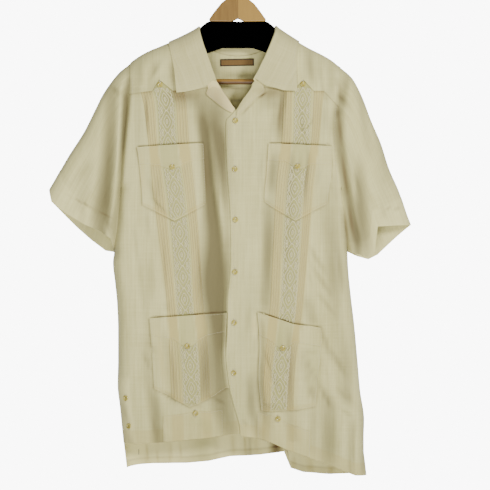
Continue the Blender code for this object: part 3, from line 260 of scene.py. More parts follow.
# Soft strokes of each mark: from across and down, to across and down, half width, strength
STROKES = {
    # Painted shade: soft dark strokes where the cloth lies in shadow
    "hollow": {
        FRONT: (
            (-208, 209, -212, 267, 8, 0.45), (-163, 201, -159, 244, 10, 0.22),
            (-188, 201, -186, 267, 8, 0.22), (157, 201, 165, 273, 8, 0.3),
            (139, 189, 145, 252, 8, 0.2), (-178, 488, -171, 556, 8, 0.25),
            (122, 384, 120, 435, 7, 0.25), (157, 400, 153, 458, 8, 0.22),
            (-155, 429, -151, 488, 8, 0.2), (-139, 291, -58, 283, 23, 0.4),
            (-46, 244, -38, 517, 43, 0.85), (-79, 275, -63, 380, 18, 0.25),
            (-192, 273, -196, 420, 12, 0.2), (-136, 279, -132, 365, 14, 0.3),
            (36, 291, 95, 283, 23, 0.4), (-245, 449, -256, 599, 20, 0.25),
            (221, 361, 247, 630, 25, 0.38), (75, 279, 71, 365, 12, 0.35),
            (122, 279, 128, 361, 8, 0.3), (59, 474, 54, 692, 14, 0.38),
            (106, 367, 95, 507, 12, 0.35), (139, 373, 128, 507, 8, 0.45),
            (71, 373, 63, 486, 16, 0.32), (-69, 741, -61, 878, 18, 0.25),
            (-139, 673, -132, 696, 12, 0.2), (98, 527, 91, 683, 8, 0.25),
            (15, 283, 5, 380, 16, 0.15), (165, 283, 173, 361, 16, 0.2),
            (175, 439, 194, 692, 29, 0.5), (270, 302, 297, 517, 29, 0.25),
            (210, 732, 219, 868, 14, 0.3), (24, 813, 28, 923, 12, 0.3),
            (122, 751, 145, 868, 14, 0.25), (-171, 576, -167, 692, 14, 0.25),
            (192, 322, 196, 295, 10, 0.3), (-243, 322, -249, 556, 16, 0.2),
            (-120, 205, -128, 264, 12, 0.2), (132, 186, 137, 252, 14, 0.2)),
        BACK: (
            (-58, 193, -40, 248, 12, 0.35), (48, 193, 32, 248, 10, 0.15),
            (-54, 187, 48, 187, 7, 0.4))},
    "shade": {
        FRONT: (
            (-130, 197, -124, 271, 8, 0.4), (190, 236, 202, 283, 8, 0.3),
            (57, 270, 38, 283, 3, 0.8), (38, 283, 1, 320, 3, 0.5), (-155, 279, -54, 271, 18, 0.6),
            (36, 273, 98, 267, 18, 0.62), (-178, 267, -173, 365, 5, 0.5),
            (87, 267, 81, 365, 6, 0.75), (67, 478, 58, 685, 5, 0.22), (196, 306, 202, 380, 6, 0.6),
            (202, 380, 214, 478, 6, 0.6), (214, 478, 227, 564, 6, 0.6),
            (206, 488, 215, 574, 5, 0.6), (-128, 761, -116, 868, 6, 0.25),
            (98, 728, 102, 876, 9, 0.35), (50, 732, 48, 878, 6, 0.3),
            (-329, 469, -274, 498, 3, 0.45), (-274, 498, -239, 516, 3, 0.45),
            (270, 495, 327, 495, 3, 0.35), (-145, 533, -136, 673, 4, 0.25),
            (-81, 536, -67, 683, 4, 0.25), (-61, 373, -56, 478, 8, 0.25),
            (-229, 864, -214, 923, 10, 0.12), (-167, 891, -155, 946, 5, 0.3),
            (208, 837, 223, 876, 7, 0.15), (153, 829, 145, 872, 4, 0.25)),
        BACK: (
            (-42, 283, 36, 283, 3, 0.35), (-46, 259, 40, 259, 6, 0.35))},
    "worked": {
        FRONT: (
            (-136, 279, -134, 365, 16, 0.3), (114, 275, 118, 365, 12, 0.3),
            (-116, 716, -100, 876, 18, 0.5), (79, 716, 83, 876, 16, 0.4),
            (145, 732, 153, 868, 18, 0.4), (180, 907, 180, 989, 20, 0.3),
            (-100, 891, -30, 934, 20, 0.3), (-100, 533, -100, 673, 16, 0.2)),
        BACK: (
            (-67, 917, -67, 1014, 39, 0.5),)},
    # Painted light: strokes that brighten the cloth
    "lit": {
        FRONT: (
            (-221, 821, -204, 966, 14, 0.4), (-58, 209, -48, 248, 8, 0.3),
            (-171, 891, -120, 942, 10, 0.2), (17, 919, 36, 958, 16, 0.4),
            (32, 692, 34, 751, 6, 0.7), (59, 369, 56, 482, 5, 0.5)),
        BACK: (
            (-3, 232, -3, 338, 58, 1),)},
    "layers": {
        FRONT: (
            (-186, 377, -184, 478, 8, 0.5), (-157, 716, -136, 868, 10, 0.5),
            (52, 704, 59, 876, 12, 0.5), (32, 700, 32, 743, 8, 0.5), (59, 377, 56, 474, 7, 0.5),
            (-190, 942, -188, 958, 6, 0.1), (102, 868, 122, 966, 16, 0.35),
            (48, 907, 40, 946, 16, 0.4)),
        BACK: (
            (-3, 267, -3, 326, 51, 0.6), (-178, 946, -178, 1004, 5, 0.6),
            (-157, 946, -157, 1004, 4, 0.5), (-132, 946, -132, 1004, 6, 0.5),
            (-112, 946, -112, 1004, 3, 0.5), (-11, 926, -7, 989, 8, 0.5),
            (13, 926, 17, 985, 4, 0.6), (36, 926, 38, 985, 10, 0.4), (110, 975, 110, 1020, 6, 0.6),
            (141, 975, 145, 1024, 12, 0.5), (184, 985, 184, 1028, 10, 0.5),
            (219, 985, 223, 1028, 6, 0.4))}}


def eased(t, start, end, leave, arrive):
    """A cubic from one value to the next that leaves and arrives with the given leans."""
    return ((2 * t ** 3 - 3 * t ** 2 + 1) * start + (3 * t ** 2 - 2 * t ** 3) * end
            + (t ** 3 - 2 * t ** 2 + t) * leave + (t ** 3 - t ** 2) * arrive)


class Curve:
    """A column of a table, read on a curve that never overshoots its rows, or on straight lines."""

    def __init__(self, rows, column=1, curved=True):
        keys = np.array([row[0] for row in rows], float)
        values = np.array([row[column] for row in rows], float)
        if not curved:
            self.keys, self.values = keys, values
            return
        step = np.diff(keys)
        slope = np.diff(values) / step
        before, after = slope[:-1], slope[1:]
        same = before * after > 0
        total = np.where(same, before + after, 1.0)
        lean = np.concatenate(([slope[0]], np.where(same, 2 * before * after / total, 0.0),
                               [slope[-1]]))
        t = np.linspace(0, 1, 17)[:, None]
        self.keys = (keys[:-1] + t * step).T.ravel()
        self.values = eased(t, values[:-1], values[1:], lean[:-1] * step, lean[1:] * step).T.ravel()

    def __call__(self, at):
        return np.interp(at, self.keys, self.values)


SHOULDER = Curve(SHOULDER_LINE)
EDGE = {-1: Curve(RIGHT_EDGE), 1: Curve(LEFT_EDGE)}
FULL = {FRONT: Curve(DEPTH, 1), BACK: Curve(DEPTH, 2)}
BANDS = {-1: [Curve(RIGHT_BANDS, column) for column in range(1, 7)],
         1: [Curve(LEFT_BANDS, column) for column in range(1, 7)]}
FRONT_EDGE = {-1: Curve(RIGHT_FRONT_EDGE), 1: Curve(LEFT_FRONT_EDGE)}
HEM = {-1: Curve(RIGHT_HEM, curved=False), 1: Curve(LEFT_HEM, curved=False)}
BACK_HEM_LINE = Curve(BACK_HEM, curved=False)
NECK_LINE = {side: Curve(YOKE_NECK[side]) for side in (-1, 1)}


def mix(start, end, share):
    return start + (end - start) * share


def quarter(share):
    """Rises from 0 to 1 as a quarter of an ellipse does."""
    return np.sqrt(1 - (1 - np.clip(share, 0, 1)) ** 2)


def bump(share):
    """A soft bell, 1 in the middle and 0 from 1 outwards."""
    return (1 - np.minimum(np.abs(share), 1.0) ** 2) ** 2


def smoothstep(start, end, at):
    share = np.clip((at - start) / (end - start), 0, 1)
    return share * share * (3 - 2 * share)


def shoulder_slope(across):
    return (SHOULDER(across + SLOPE_STEP) - SHOULDER(across - SLOPE_STEP)) / (2 * SLOPE_STEP)


def edge(across, down):
    """Where the side seam on a place's own side runs."""
    return np.where(across < 0, EDGE[-1](down), EDGE[1](down))


def side_distance(across, down):
    seam = edge(across, np.maximum(down, UNDERARM_DOWN))
    gap = np.hypot(across - seam, np.maximum(UNDERARM_DOWN - down, 0))
    above, below, at_end = PRESS_FADES
    against = smoothstep(UNDERARM_DOWN - above, UNDERARM_DOWN + below, down)
    against = against * smoothstep(SLEEVE_END, SLEEVE_END - at_end, down)
    return gap + SLEEVE_PRESS * against


FOLD_LINES = [(face, [Curve(rows, column) for column in (1, 2, 3)], rows[0][0], rows[-1][0],
               face == FRONT and rows[0][1] < LEFT_FRONT_EDGE[-1][1] - CLOSING_ROOM)
              for face, folds in FOLDS.items() for rows in folds]


def stroke(across, down, x0, d0, x1, d1, width):
    """A soft stroke from one place to another, 1 in its middle."""
    length = math.hypot(x1 - x0, d1 - d0)
    along = ((across - x0) * (x1 - x0) + (down - d0) * (d1 - d0)) / length
    apart = ((across - x0) * (d1 - d0) - (down - d0) * (x1 - x0)) / length
    return bump(apart / width) * bump((2 * along / length - 1) * FOLD_EASE)


def crease_depth(across, down, face):
    """How far the folds and creases press the cloth in at a place."""
    total = np.zeros(np.broadcast(across, down).shape)
    beside_placket = smoothstep(1, CLOSING_ROOM, FRONT_EDGE[1](down) - across)
    for fold_face, (middle, width, depth), top, low, ends_at_placket in FOLD_LINES:
        share = (across - middle(down)) / width(down)
        within = (down > top) & ((down < low) | (low > FOLD_TO_HEM))
        pressed = bump(share) * np.where(within, depth(down), 0)
        if ends_at_placket:
            pressed = pressed * beside_placket
        total += np.where(face == fold_face, pressed, 0)
    for *line, depth in CREASES:
        total += np.where(face == FRONT, depth, 0) * stroke(across, down, *line)
    return total


def stroke_mark(mark, across, down, face):
    """How strongly the strokes of one mark cover a place."""
    total = np.zeros(np.broadcast(across, down).shape)
    for stroke_face, rows in STROKES[mark].items():
        for *line, strength in rows:
            total += np.where(face == stroke_face, strength, 0) * stroke(across, down, *line)
    return total


def reach(across, down, face):
    """Half depth of the shirt's outer surface at a place."""
    drop = np.maximum(down - SHOULDER(across), 0) / np.hypot(1, shoulder_slope(across))
    round_off = quarter(drop / SHOULDER_ROUND) * quarter(side_distance(across, down) / SIDE_ROUND)
    full = np.where(face == FRONT, FULL[FRONT](down), FULL[BACK](down))
    past = np.abs(across) - np.abs(edge(across, down))
    full = mix(full, np.minimum(full, SLEEVE_DEPTH), np.clip(past / SLEEVE_BLEND, 0, 1))
    full = np.maximum(full - crease_depth(across, down, face), LEAST_DEPTH)
    return np.where(face == RIDGE, 0, full * round_off)


def vent(down):
    return VENT_OPEN * np.clip((down - VENT_TOP) / VENT_LENGTH, 0, 1) ** 2


def place(across, down, face, lift=0.0):
    """Points of the shirt's outer surface, moved out by the lift, and the way out of it."""
    across, down, face, lift = np.broadcast_arrays(across, down, face, lift)
    across, down = across.astype(float), down.astype(float)
    step = np.where(across > 0, NORMAL_STEP, -NORMAL_STEP)
    depth = reach(across, down, face)
    rise_x = (depth ** 2 - reach(across - step, down, face) ** 2) / step
    rise_down = (reach(across, down + NORMAL_STEP, face) ** 2 - depth ** 2) / NORMAL_STEP
    slope = shoulder_slope(across)
    ridge = face == RIDGE
    out = np.stack((np.where(ridge, slope, -rise_x), np.where(ridge, 0, 2 * face * depth),
                    np.where(ridge, 1, rise_down)), -1)
    length = np.linalg.norm(out, axis=-1, keepdims=True)
    flat = np.stack((0 * across, face + 0 * across, 0 * across), -1)
    out = np.where(length < FLAT_SLOPE, flat, out / np.maximum(length, FLAT_SLOPE))
    point = np.stack((across, face * (depth + vent(down)), -down), -1)
    return point + out * lift[..., None], out


def settle(line, top, bottom, shares, start=SEAM_DOWN):
    """Across and down of the places at given shares of the way along a line."""
    down = np.full(len(shares), float(start))
    for _ in range(SETTLE_ROUNDS):
        across = line(down)
        down = mix(down, mix(top(across), bottom(across), shares), SETTLE_SHARE)
    return line(down), down


def grid_of(lines, top, bottom, shares, start=SEAM_DOWN):
    """Across and down grids, one column for each line."""
    columns = [settle(line, top, bottom, shares, start) for line in lines]
    return np.stack(columns, -1)


def shell(name, outer, inner, finish, uv, closed=False, present=None, outside=1.0, **marks):
    """A closed cloth wall between two grids of points, with a flat map and marks for its finish;
    outside is the marks' share on the outer wall."""
    rows, columns = outer.shape[:2]
    count = rows * columns
    index = np.arange(count).reshape(rows, columns)
    if closed:
        index = np.concatenate((index, index[:, :1]), 1)
    quads = np.stack((index[:-1, :-1], index[:-1, 1:], index[1:, 1:], index[1:, :-1]), -1)
    if present is not None:
        whole = present[:-1, :-1] & present[:-1, 1:] & present[1:, 1:] & present[1:, :-1]
        quads = quads[whole]
    quads = quads.reshape(-1, 4)
    points, under = outer.reshape(-1, 3), inner.reshape(-1, 3)
    corner = [points[quads[:, k]] for k in range(4)]
    normals = np.cross(corner[2] - corner[0], corner[3] - corner[1])
    if (normals * (corner[0] - under[quads[:, 0]])).sum() < 0:
        quads = quads[:, ::-1]
    edges = np.concatenate([quads[:, (k, (k + 1) % 4)] for k in range(4)])
    known = {(a, b) for a, b in edges.tolist()}
    rim = [(a, b) for a, b in known if (b, a) not in known]
    rim_faces = [(b, a, a + count, b + count) for a, b in rim]
    faces = quads.tolist() + (quads[:, ::-1] + count).tolist() + rim_faces
    used = np.unique(quads)
    used = np.concatenate((used, used + count))
    renumber = np.full(2 * count, -1)
    renumber[used] = np.arange(len(used))
    vertices = np.concatenate((points, under))[used] * MM
    mesh = bpy.data.meshes.new(name)
    mesh.from_pydata(vertices.tolist(), [], [[int(renumber[v]) for v in face] for face in faces])
    corners = np.empty(len(mesh.loops), np.int32)
    mesh.loops.foreach_get("vertex_index", corners)
    flat = np.concatenate((uv.reshape(-1, 2), uv.reshape(-1, 2)))[used] * MM
    mesh.uv_layers.new(name="UVMap").data.foreach_set("uv", flat[corners].ravel())
    for mark, values in marks.items():
        walls = [np.broadcast_to(wall, (rows, columns)).ravel() for wall in (values * outside, values)]
        mesh.attributes.new(mark, "FLOAT", "POINT").data.foreach_set(
            "value", np.concatenate(walls)[used].astype(np.float32))
    mesh.validate()
    mesh.shade_smooth()
    mesh.set_sharp_from_angle(angle=SHARP_ANGLE)
    return add_object(name, mesh, finish)


def add_object(name, mesh, finish):
    thing = bpy.data.objects.new(name, mesh)
    mesh.materials.append(finish)
    bpy.context.scene.collection.objects.link(thing)
    return thing


def panel(name, across, down, face, lift, finish, cloth=CLOTH, relief=0.0, closed=False,
          present=None, uv=None, **marks):
    """A cloth shell on the shirt's form."""
    outer, _ = place(across, down, face, lift + relief)
    inner, _ = place(across, down, face, lift - cloth)
    if uv is None:
        uv = np.stack(np.broadcast_arrays(across, down), -1)
    # Folds and creases darken the cloth by their depth, half as much on the back: painted shade
    deepest = np.where(face == BACK, 2 * FULL_SHADE_DEPTH, FULL_SHADE_DEPTH)
    marks["hollow"] = np.clip(crease_depth(across, down, face) / deepest, 0, 1)
    for mark in STROKES:
        marks[mark] = np.clip(marks.get(mark, 0) + stroke_mark(mark, across, down, face), 0, 1)
    outside = np.where(face == BACK, 0.0, 1.0)
    return shell(name, outer, inner, finish, uv, closed, present, outside, **marks)


class Wired:
    """A socket in a finish; calculating with it adds the Math nodes."""

    def __init__(self, finish, socket):
        self.finish, self.socket = finish, socket

    def maths(self, operation, *others):
        values = dict(enumerate((self, *others)))
        return self.finish.node("ShaderNodeMath", {"operation": operation}, values)

    def __add__(self, other):
        return self.maths("ADD", other)

    def __mul__(self, other):
        return self.maths("MULTIPLY", other)

    __radd__ = __add__
    __rmul__ = __mul__


class Finish:
    """A material's node tree, built by name."""

    def __init__(self, name, **constants):
        self.material = bpy.data.materials.new(name)
        self.material.use_nodes = True
        self.tree = self.material.node_tree
        self.shader = self.tree.nodes["Principled BSDF"]
        self.set(**constants)

    def feed(self, socket, value):
        if isinstance(value, Wired):
            self.tree.links.new(value.socket, socket)
        else:
            socket.default_value = value

    def set(self, **sockets):
        for key, value in sockets.items():
            self.feed(self.shader.inputs[key.replace("_", " ").title()], value)

    def node(self, kind, settings=None, sockets=None, out=0):
        made = self.tree.nodes.new(kind)
        for key, value in (settings or {}).items():
            if key == "stops":
                ramp = made.color_ramp.elements
                while len(ramp) < len(value):
                    ramp.new(1.0)
                for stop, (position, colour) in zip(ramp, value):
                    stop.position, stop.color = position, colour
            else:
                setattr(made, key, value)
        for key, value in (sockets or {}).items():
            self.feed(made.inputs[key], value)
        return Wired(self, made.outputs[out])

    def own_place(self):
        return self.node("ShaderNodeTexCoord", {}, {}, 3)

    def flat_place(self):
        return self.node("ShaderNodeUVMap", {"uv_map": "UVMap"})

    def mark(self, name):
        return self.node("ShaderNodeAttribute", {"attribute_name": name}, {}, 2)

    def mixed(self, factor, first, second):
        """One colour turning into another."""
        sockets = {0: factor, 6: first, 7: second}
        return self.node("ShaderNodeMix", {"data_type": "RGBA"}, sockets, 2)

    def ramped(self, value, stops):
        return self.node("ShaderNodeValToRGB", {"stops": stops}, {0: value})

    def noise(self, at, scale, detail=3.0, rough=0.55, stretch=(1, 1, 1)):
        spread = self.node("ShaderNodeMapping", {}, {"Vector": at, "Scale": stretch})
        return self.node("ShaderNodeTexNoise", {"normalize": True},
                         {"Vector": spread, "Scale": scale, "Detail": detail, "Roughness": rough})

    def bumped(self, height, strength, distance, under=None):
        sockets = {"Height": height, "Strength": strength, "Distance": distance}
        if under is not None:
            sockets["Normal"] = under
        return self.node("ShaderNodeBump", {}, sockets)


def tone(*rgb):
    """A colour as the eye reads it, 0 to 255, made linear."""
    return tuple(((v / 255 + 0.055) / 1.055) ** 2.4 if v > 10 else v / 255 / 12.92
                 for v in rgb) + (1.0,)


# Tints of the marks: lit is painted light, hollow and shade are painted shade, layers is doubled cloth
# and worked the silk-worked ground
CLOTH_MARKS = (("lit", tone(255, 246, 172)), ("layers", tone(202, 186, 114)),
               ("worked", tone(178, 174, 106)), ("hollow", tone(116, 107, 66)),
               ("shade", tone(92, 68, 28)))
PATCHES = ((0.42, (0, 0, 0, 1)), (0.68, (0.4, 0.4, 0.4, 1)))
CRUMPLE_HEIGHT = 0.006


def cloth_finish(name, light, shade, slub=1.0):
    """Plain linen-like cloth: slubby warp down the piece, finer weft. The marks on a piece tell
    where it is doubled, where it is worked with silk, and the painted light and painted shade of folds
    and edges."""
    made = Finish(name, roughness=0.8, sheen_weight=0.2, sheen_roughness=0.5)
    flat = made.flat_place()
    warp = made.noise(flat, 260, 4, 0.6, (1, 0.035, 1))
    weft = made.noise(flat, 300, 3, 0.55, (0.045, 1, 1))
    cloud = made.noise(flat, 14, 4, 0.6, (1, 0.35, 1))
    weave, cross = (made.node("ShaderNodeTexWave", {"wave_type": "BANDS", "bands_direction": way},
                              {"Vector": flat, "Scale": 420, "Distortion": 1.2, "Detail": 1})
                    for way in "XY")
    threads = warp * 0.4 + weft * 0.18 + cloud * 0.42
    patches = made.noise(flat, 7, 3, 0.6, (1, 0.3, 1))
    colour = made.ramped(threads, ((0.38, shade), (0.62, light)))
    colour = made.mixed(made.ramped(patches, PATCHES), colour, tone(186, 182, 122))
    for mark, tint in CLOTH_MARKS:
        colour = made.mixed(made.mark(mark), colour, tint)
    made.set(base_color=colour)
    relief = warp * (0.5 * slub) + weft * (0.3 * slub) + weave * 0.1 + cross * 0.1
    fine = made.bumped(relief, 0.3, 0.0006)
    crumples = made.noise(flat, 22, 3, 0.5, (1, 0.45, 1))
    made.set(normal=made.bumped(crumples, 0.75 * slub, CRUMPLE_HEIGHT, fine))
    return made.material


def thread_finish(name, colour, rough=0.6):
    made = Finish(name, roughness=rough, sheen_weight=0.3)
    twist = made.noise(made.own_place(), 900, 2, 0.5)
    made.set(base_color=made.mixed(twist * 0.35, colour, tone(232, 226, 202)))
    made.set(normal=made.bumped(twist, 0.3, 0.0002))
    return made.material


def pearl_finish():
    made = Finish("yellowed_pearl", roughness=0.28, coat_weight=0.4)
    swirl = made.noise(made.own_place(), 190, 3, 0.5)
    colour = made.ramped(swirl, ((0.35, tone(150, 134, 44)), (0.65, tone(200, 186, 88))))
    made.set(base_color=colour)
    made.set(normal=made.bumped(swirl, 0.15, 0.0004))
    return made.material


def label_finish():
    """Tan ribbon with a darker woven edge."""
    made = Finish("woven_label", roughness=0.75, sheen_weight=0.2)
    fine = made.noise(made.flat_place(), 700, 2, 0.5, (1, 0.25, 1))
    ribbon = made.mixed(fine, tone(98, 72, 26), tone(122, 92, 38))
    made.set(base_color=made.mixed(made.mark("layers"), ribbon, tone(36, 20, 8)))
    made.set(normal=made.bumped(fine, 0.5, 0.0003))
    return made.material


JOINT_ACROSS = 0.001
JOINT_HALF = 0.0004


def wood_finish(name, pale, deep, grain_along, halves=False, shaded_below=None):
    """Varnished wood with its grain along one way; halves shows the joint between two boards, and
    shaded_below is the height under which painted shade darkens it."""
    made = Finish(name, roughness=0.5, coat_weight=0.08, coat_roughness=0.3)
    at = made.own_place()
    rings = made.noise(at, 60, 4, 0.6, grain_along)
    pores = made.noise(at, 420, 3, 0.6, grain_along)
    figure = rings * 0.75 + pores * 0.25
    colour = made.ramped(figure, ((0.36, deep), (0.66, pale)))
    if halves:
        across = made.node("ShaderNodeSeparateXYZ", {}, {0: at})
        right = across.maths("GREATER_THAN", JOINT_ACROSS)
        joint = across.maths("COMPARE", JOINT_ACROSS, JOINT_HALF)
        colour = made.mixed(right * 0.5, colour, tone(186, 146, 62))
        colour = made.mixed(joint * 0.6, colour, tone(110, 74, 26))
    if shaded_below is not None:
        height = made.node("ShaderNodeSeparateXYZ", {}, {0: at}, 2)
        low = height.maths("LESS_THAN", shaded_below)
        # Painted shade on the bar's underside
        colour = made.mixed(low * 0.75, colour, tone(60, 34, 8))
    made.set(base_color=colour)
    made.set(normal=made.bumped(pores, 0.2, 0.0003))
    return made.material


# Rows and columns of the fronts. A tuck's profile is its share of the way across and its height
ROW_STEP = 4.2
MOUTH_ROW_STEP = 1.5
MOUTH_ROWS = ((360, 382), (684, 734))
FIRST_ROWS = (0, 0.0015)
SIDE_INSETS = (0.0, 0.7, 2.0, 4.5, 8.0, 12.0, 17.0, 23.0)
SIDE_COLUMNS = 15
SIDE_ROOM = 30.0
TUCK_PROFILE = ((0.0, 0.0), (0.14, 0.3), (0.26, 1.0), (0.58, 0.8), (0.76, 0.22))
TUCK_GROUPS = (0, 4)
EMBROIDERY_COLUMNS = 16
LEFT_CLOSING_COLUMNS = (*np.linspace(0, 1, 19)[1:-1], 0.975, 0.99, 1.0)
RIGHT_CLOSING_COLUMNS = np.linspace(0, 1, 17)[1:]
RIGHT_CLOSING_INSETS = (10, 6, 3, 1)

# The shade and the doubled cloth of the fronts. A line of shade is its shift from the edge and
# its half width, for the yoke after its strength
POCKET_SHADE = 0.42
POCKET_LEFT_SHADE = 5.0
POCKET_RIGHT_SHADE = 4.0
POCKET_RIGHT_SHARE = 0.7
POCKET_FOOT_SHADE = (0.5, 4.5)
MOUTH_SHADE = 1.0
MOUTH_SHADE_ROWS = (-0.5, 4.8)
UNEVEN_WAVES = ((11, 17), (29, -8))
UNEVEN_SHARES = (0.7, 0.3)
TUCK_FOOT_SHADE = 0.3
YOKE_SHADE = (0.3, 0.5, 4.5)
TUCKED_LAYERS = 0.75
HEM_LAYERS = 0.4
HEM_DEPTH = 25.0
FACING_LIT = 0.3
BANDS_END = (1, -3)
STRIP_SOFT = 1.5

# Pockets on the bands: side line as down, across; top and bottom as across, down
POCKETS = {
    "chest_pocket_r": dict(
        outer=((368, -196), (409, -190), (489, -184), (525, -184)),
        inner=((360, -66), (488, -62), (525, -62)),
        top=((-200, 377), (-60, 368)),
        bottom=((-190, 486), (-162, 499), (-122, 519), (-80, 497), (-60, 486)),
        band=((-200, 409), (-151, 412), (-128, 420), (-92, 404), (-60, 399))),
    "chest_pocket_l": dict(
        outer=((368, 182), (408, 183), (483, 175), (525, 174)),
        inner=((360, 61), (424, 56), (477, 52), (525, 52)),
        top=((50, 369), (190, 375)),
        bottom=((45, 478), (73, 496), (112, 519), (150, 498), (180, 483)),
        band=((50, 402), (92, 404), (117, 420), (142, 410), (190, 409))),
    "lower_pocket_r": dict(
        outer=((700, -170), (770, -165), (842, -161), (885, -158)),
        inner=((690, -20), (720, -21), (777, -23), (829, -18), (885, -8)),
        top=((-175, 708), (-20, 697)),
        bottom=((-165, 842), (-132, 858), (-92, 880), (-45, 858), (-20, 842)),
        band=((-175, 742), (-125, 747), (-98, 765), (-62, 742), (-20, 734))),
    "lower_pocket_l": dict(
        outer=((700, 163), (767, 162), (827, 155), (890, 151)),
        inner=((690, 38), (768, 42), (811, 40), (890, 46)),
        top=((30, 693), (79, 709), (109, 719), (170, 727)),
        bottom=((35, 886), (65, 888), (115, 885), (160, 876)),
        band=((30, 734), (60, 748), (86, 768), (112, 754), (170, 764)))}
# How the pockets stand off the fronts, their rows and columns, and their tucks
POCKET_EDGE = 1.6
POCKET_PUFF = 3.6
POCKET_GAPE = 1.6
POCKET_COLUMNS = ((0, 0.03, 0.1, 0.3, 0.5, 0.75), (0.2, 0.4, 0.6, 0.8, 0.93, 0.98, 1))
POCKET_ROWS = (0, 0.006, 0.02, *np.linspace(0.05, 0.96, 36), 0.985, 1)
POCKET_START = 500.0
POCKET_TUCK_SHARE = 0.8
POCKET_LAYERS = 0.7
POCKET_HEM_LAYERS = 0.3
POCKET_BAND_START = 420.0
# The bands over the pockets and hems: marks of plain cloth, tucks and embroidery
BAND_ROWS = 14
BAND_COLUMNS = 10
BAND_LIFT = 1.1
BAND_OVER_TOP = 0.4
BAND_MARKS = (0.1, 0.9, 0.45)

# The yoke: its columns' width, and its rows up the front and down the back as shares
YOKE_LIFT = 0.9
YOKE_COLUMN = 4.0
YOKE_CLIMBS = (*np.linspace(0, 0.8, 22), 0.86, 0.91, 0.95, 0.975, 0.99, 0.998, 1)
YOKE_FALLS = (0.004, 0.015, 0.035, 0.065, 0.1, *np.linspace(0.15, 1, 20))
BELOW_SHOULDER = 0.1
NECK_TURNS = 42

# Sleeves: columns round them beside the hem's corners, rings along them, and their head and hem
SLEEVE_SHARES = {0.004, 0.015, 0.035, 0.06, 0.1, 0.14, 0.19, 0.24, 0.93, 0.955, 0.975, 0.99, 0.997,
                 1.0, *np.linspace(0.3, 0.9, 22).round(3)}
SLEEVE_RINGS = (0, 0.003, *np.linspace(0.01, 1, 62))
SLEEVE_HEAD_TUCK = 3.0
SLEEVE_HEAD_LIFTS = (-1.2, -0.4)
SLEEVE_FLAT = (230, 190)
SLEEVE_HEM = 0.86
SLEEVE_HEM_LIFT = 0.5
SLEEVE_HEM_LIT = 0.25

# Ends of the front yoke seam, from the armhole to the neck: across, down
YOKE_ENDS = {-1: ((-212, 273), (-40, 258)), 1: ((202, 304), (168, SEAM_DOWN), (30, 256))}

# The buttoned facing above the right vent
VENT_FACING = 27.0
VENT_FACING_TOP = 822.0
VENT_FACING_SOFT = 3.0
VENT_FACING_FADE = 8.0

# The back: painted shades as across, half width, down and strength; where its painted light starts, and
# its hem
BACK_SHADES = ((76, 19, 944, 0.85), (-42, 10, 925, 0.12), (24, 7, 930, 0.3))
BACK_SHADE_FADE = 8.0
BACK_LIT = 0.5
BACK_LIT_FROM = 915.0
BACK_LIT_FADE = 20.0
BACK_STITCHED = 12.0
BACK_STITCHED_SHADE = (0.2, 4.0)
BACK_HEM_LAYERS = 0.2
BACK_COLUMNS = (0, 0.002, 0.006, 0.014, 0.026, 0.042, *np.linspace(0.06, 0.94, 88),
                0.958, 0.974, 0.986, 0.994, 0.998, 1)
BACK_ROWS = (*np.linspace(0, 0.86, 110), *np.linspace(0.865, 1, 44))
UNDER_HEM = {-1: (-165, -8), 1: (20, 170)}
UNDER_HEM_FADES = (6.0, 20.0)
UNDER_HEM_SHADE = (1.0, 6.0)

# Bands along the front hems
HEM_BANDS = {
    "hem_band_r": dict(start=-143, end=-28, point=-81, side=-1),
    "hem_band_l": dict(start=38, end=141, point=78, side=1)}
HEM_BAND_HEIGHT = 51.0
HEM_BAND_POINT = 3.0
HEM_BAND_POINT_WIDTH = 24.0
HEM_BAND_UP = 0.5
HEM_BAND_MARKS = (0.25, 0.4)


def between(first, second, share):
    return lambda down: mix(first(down), second(down), share)


def side_of(name):
    return -1 if name.endswith("_r") or name.startswith("right") else 1


def yoke_knots(side):
    """Corners of the front yoke seam from the armhole to the neck: across, down."""
    band = [float(line(SEAM_DOWN)) for line in BANDS[side]]
    point = float(BANDS[side][2](POINT_DOWN) + BANDS[side][3](POINT_DOWN)) / 2
    *start, end = YOKE_ENDS[side]
    return [*start, (band[1], SEAM_DOWN), (point, POINT_DOWN), (band[4], SEAM_DOWN), end]


YOKE_SEAM = {side: Curve(sorted(yoke_knots(side)), curved=False) for side in (-1, 1)}
POCKET_LINES = {name: {key: Curve(rows, curved=key in ("outer", "inner"))
                       for key, rows in shape.items()} for name, shape in POCKETS.items()}


def pocket_sides(name, down):
    """Across of a pocket's two sides, the lesser first."""
    outer, inner = (POCKET_LINES[name][key](down) for key in ("outer", "inner"))
    return np.minimum(outer, inner), np.maximum(outer, inner)


def in_pocket(name, across, down, margin=3.0):
    """1 well inside a pocket's outline and 0 outside it."""
    lines = POCKET_LINES[name]
    low, high = pocket_sides(name, down)
    room = np.minimum(np.minimum(across - low, high - across),
                      np.minimum(down - lines["top"](across), lines["bottom"](across) - down))
    return smoothstep(0, margin, room)


def band_lines(side):
    """Lines down a front's bands, each with its relief: tucks, embroidery, tucks."""
    tables = BANDS[side]
    lines, relief = [], []
    for group in TUCK_GROUPS:
        first, last = tables[group], tables[group + 1]
        for k in range(TUCKS_IN_GROUP):
            lines += [between(first, last, (k + share) / TUCKS_IN_GROUP) for share, _ in TUCK_PROFILE]
            relief += [height for _, height in TUCK_PROFILE]
        lines.append(last)
        if group == 0:
            lines += [between(tables[2], tables[3], k / EMBROIDERY_COLUMNS)
                      for k in range(EMBROIDERY_COLUMNS + 1)]
        relief += [0.0] * (len(lines) - len(relief))
    return lines, relief


def above_low_pocket(side, across, down):
    """1 down to the lower pocket's bottom edge, where the bands end, and 0 below it."""
    bottom = POCKET_LINES["lower_pocket_l" if side > 0 else "lower_pocket_r"]["bottom"]
    return smoothstep(*BANDS_END, down - bottom(across))


def tuck_feet(relief):
    """The thin line of shade at the foot of each tuck."""
    return TUCK_FOOT_SHADE * np.isin(relief, (TUCK_PROFILE[1][1], TUCK_PROFILE[-1][1]))


def inside_placket(inset):
    return lambda down: placket_line(down) - inset


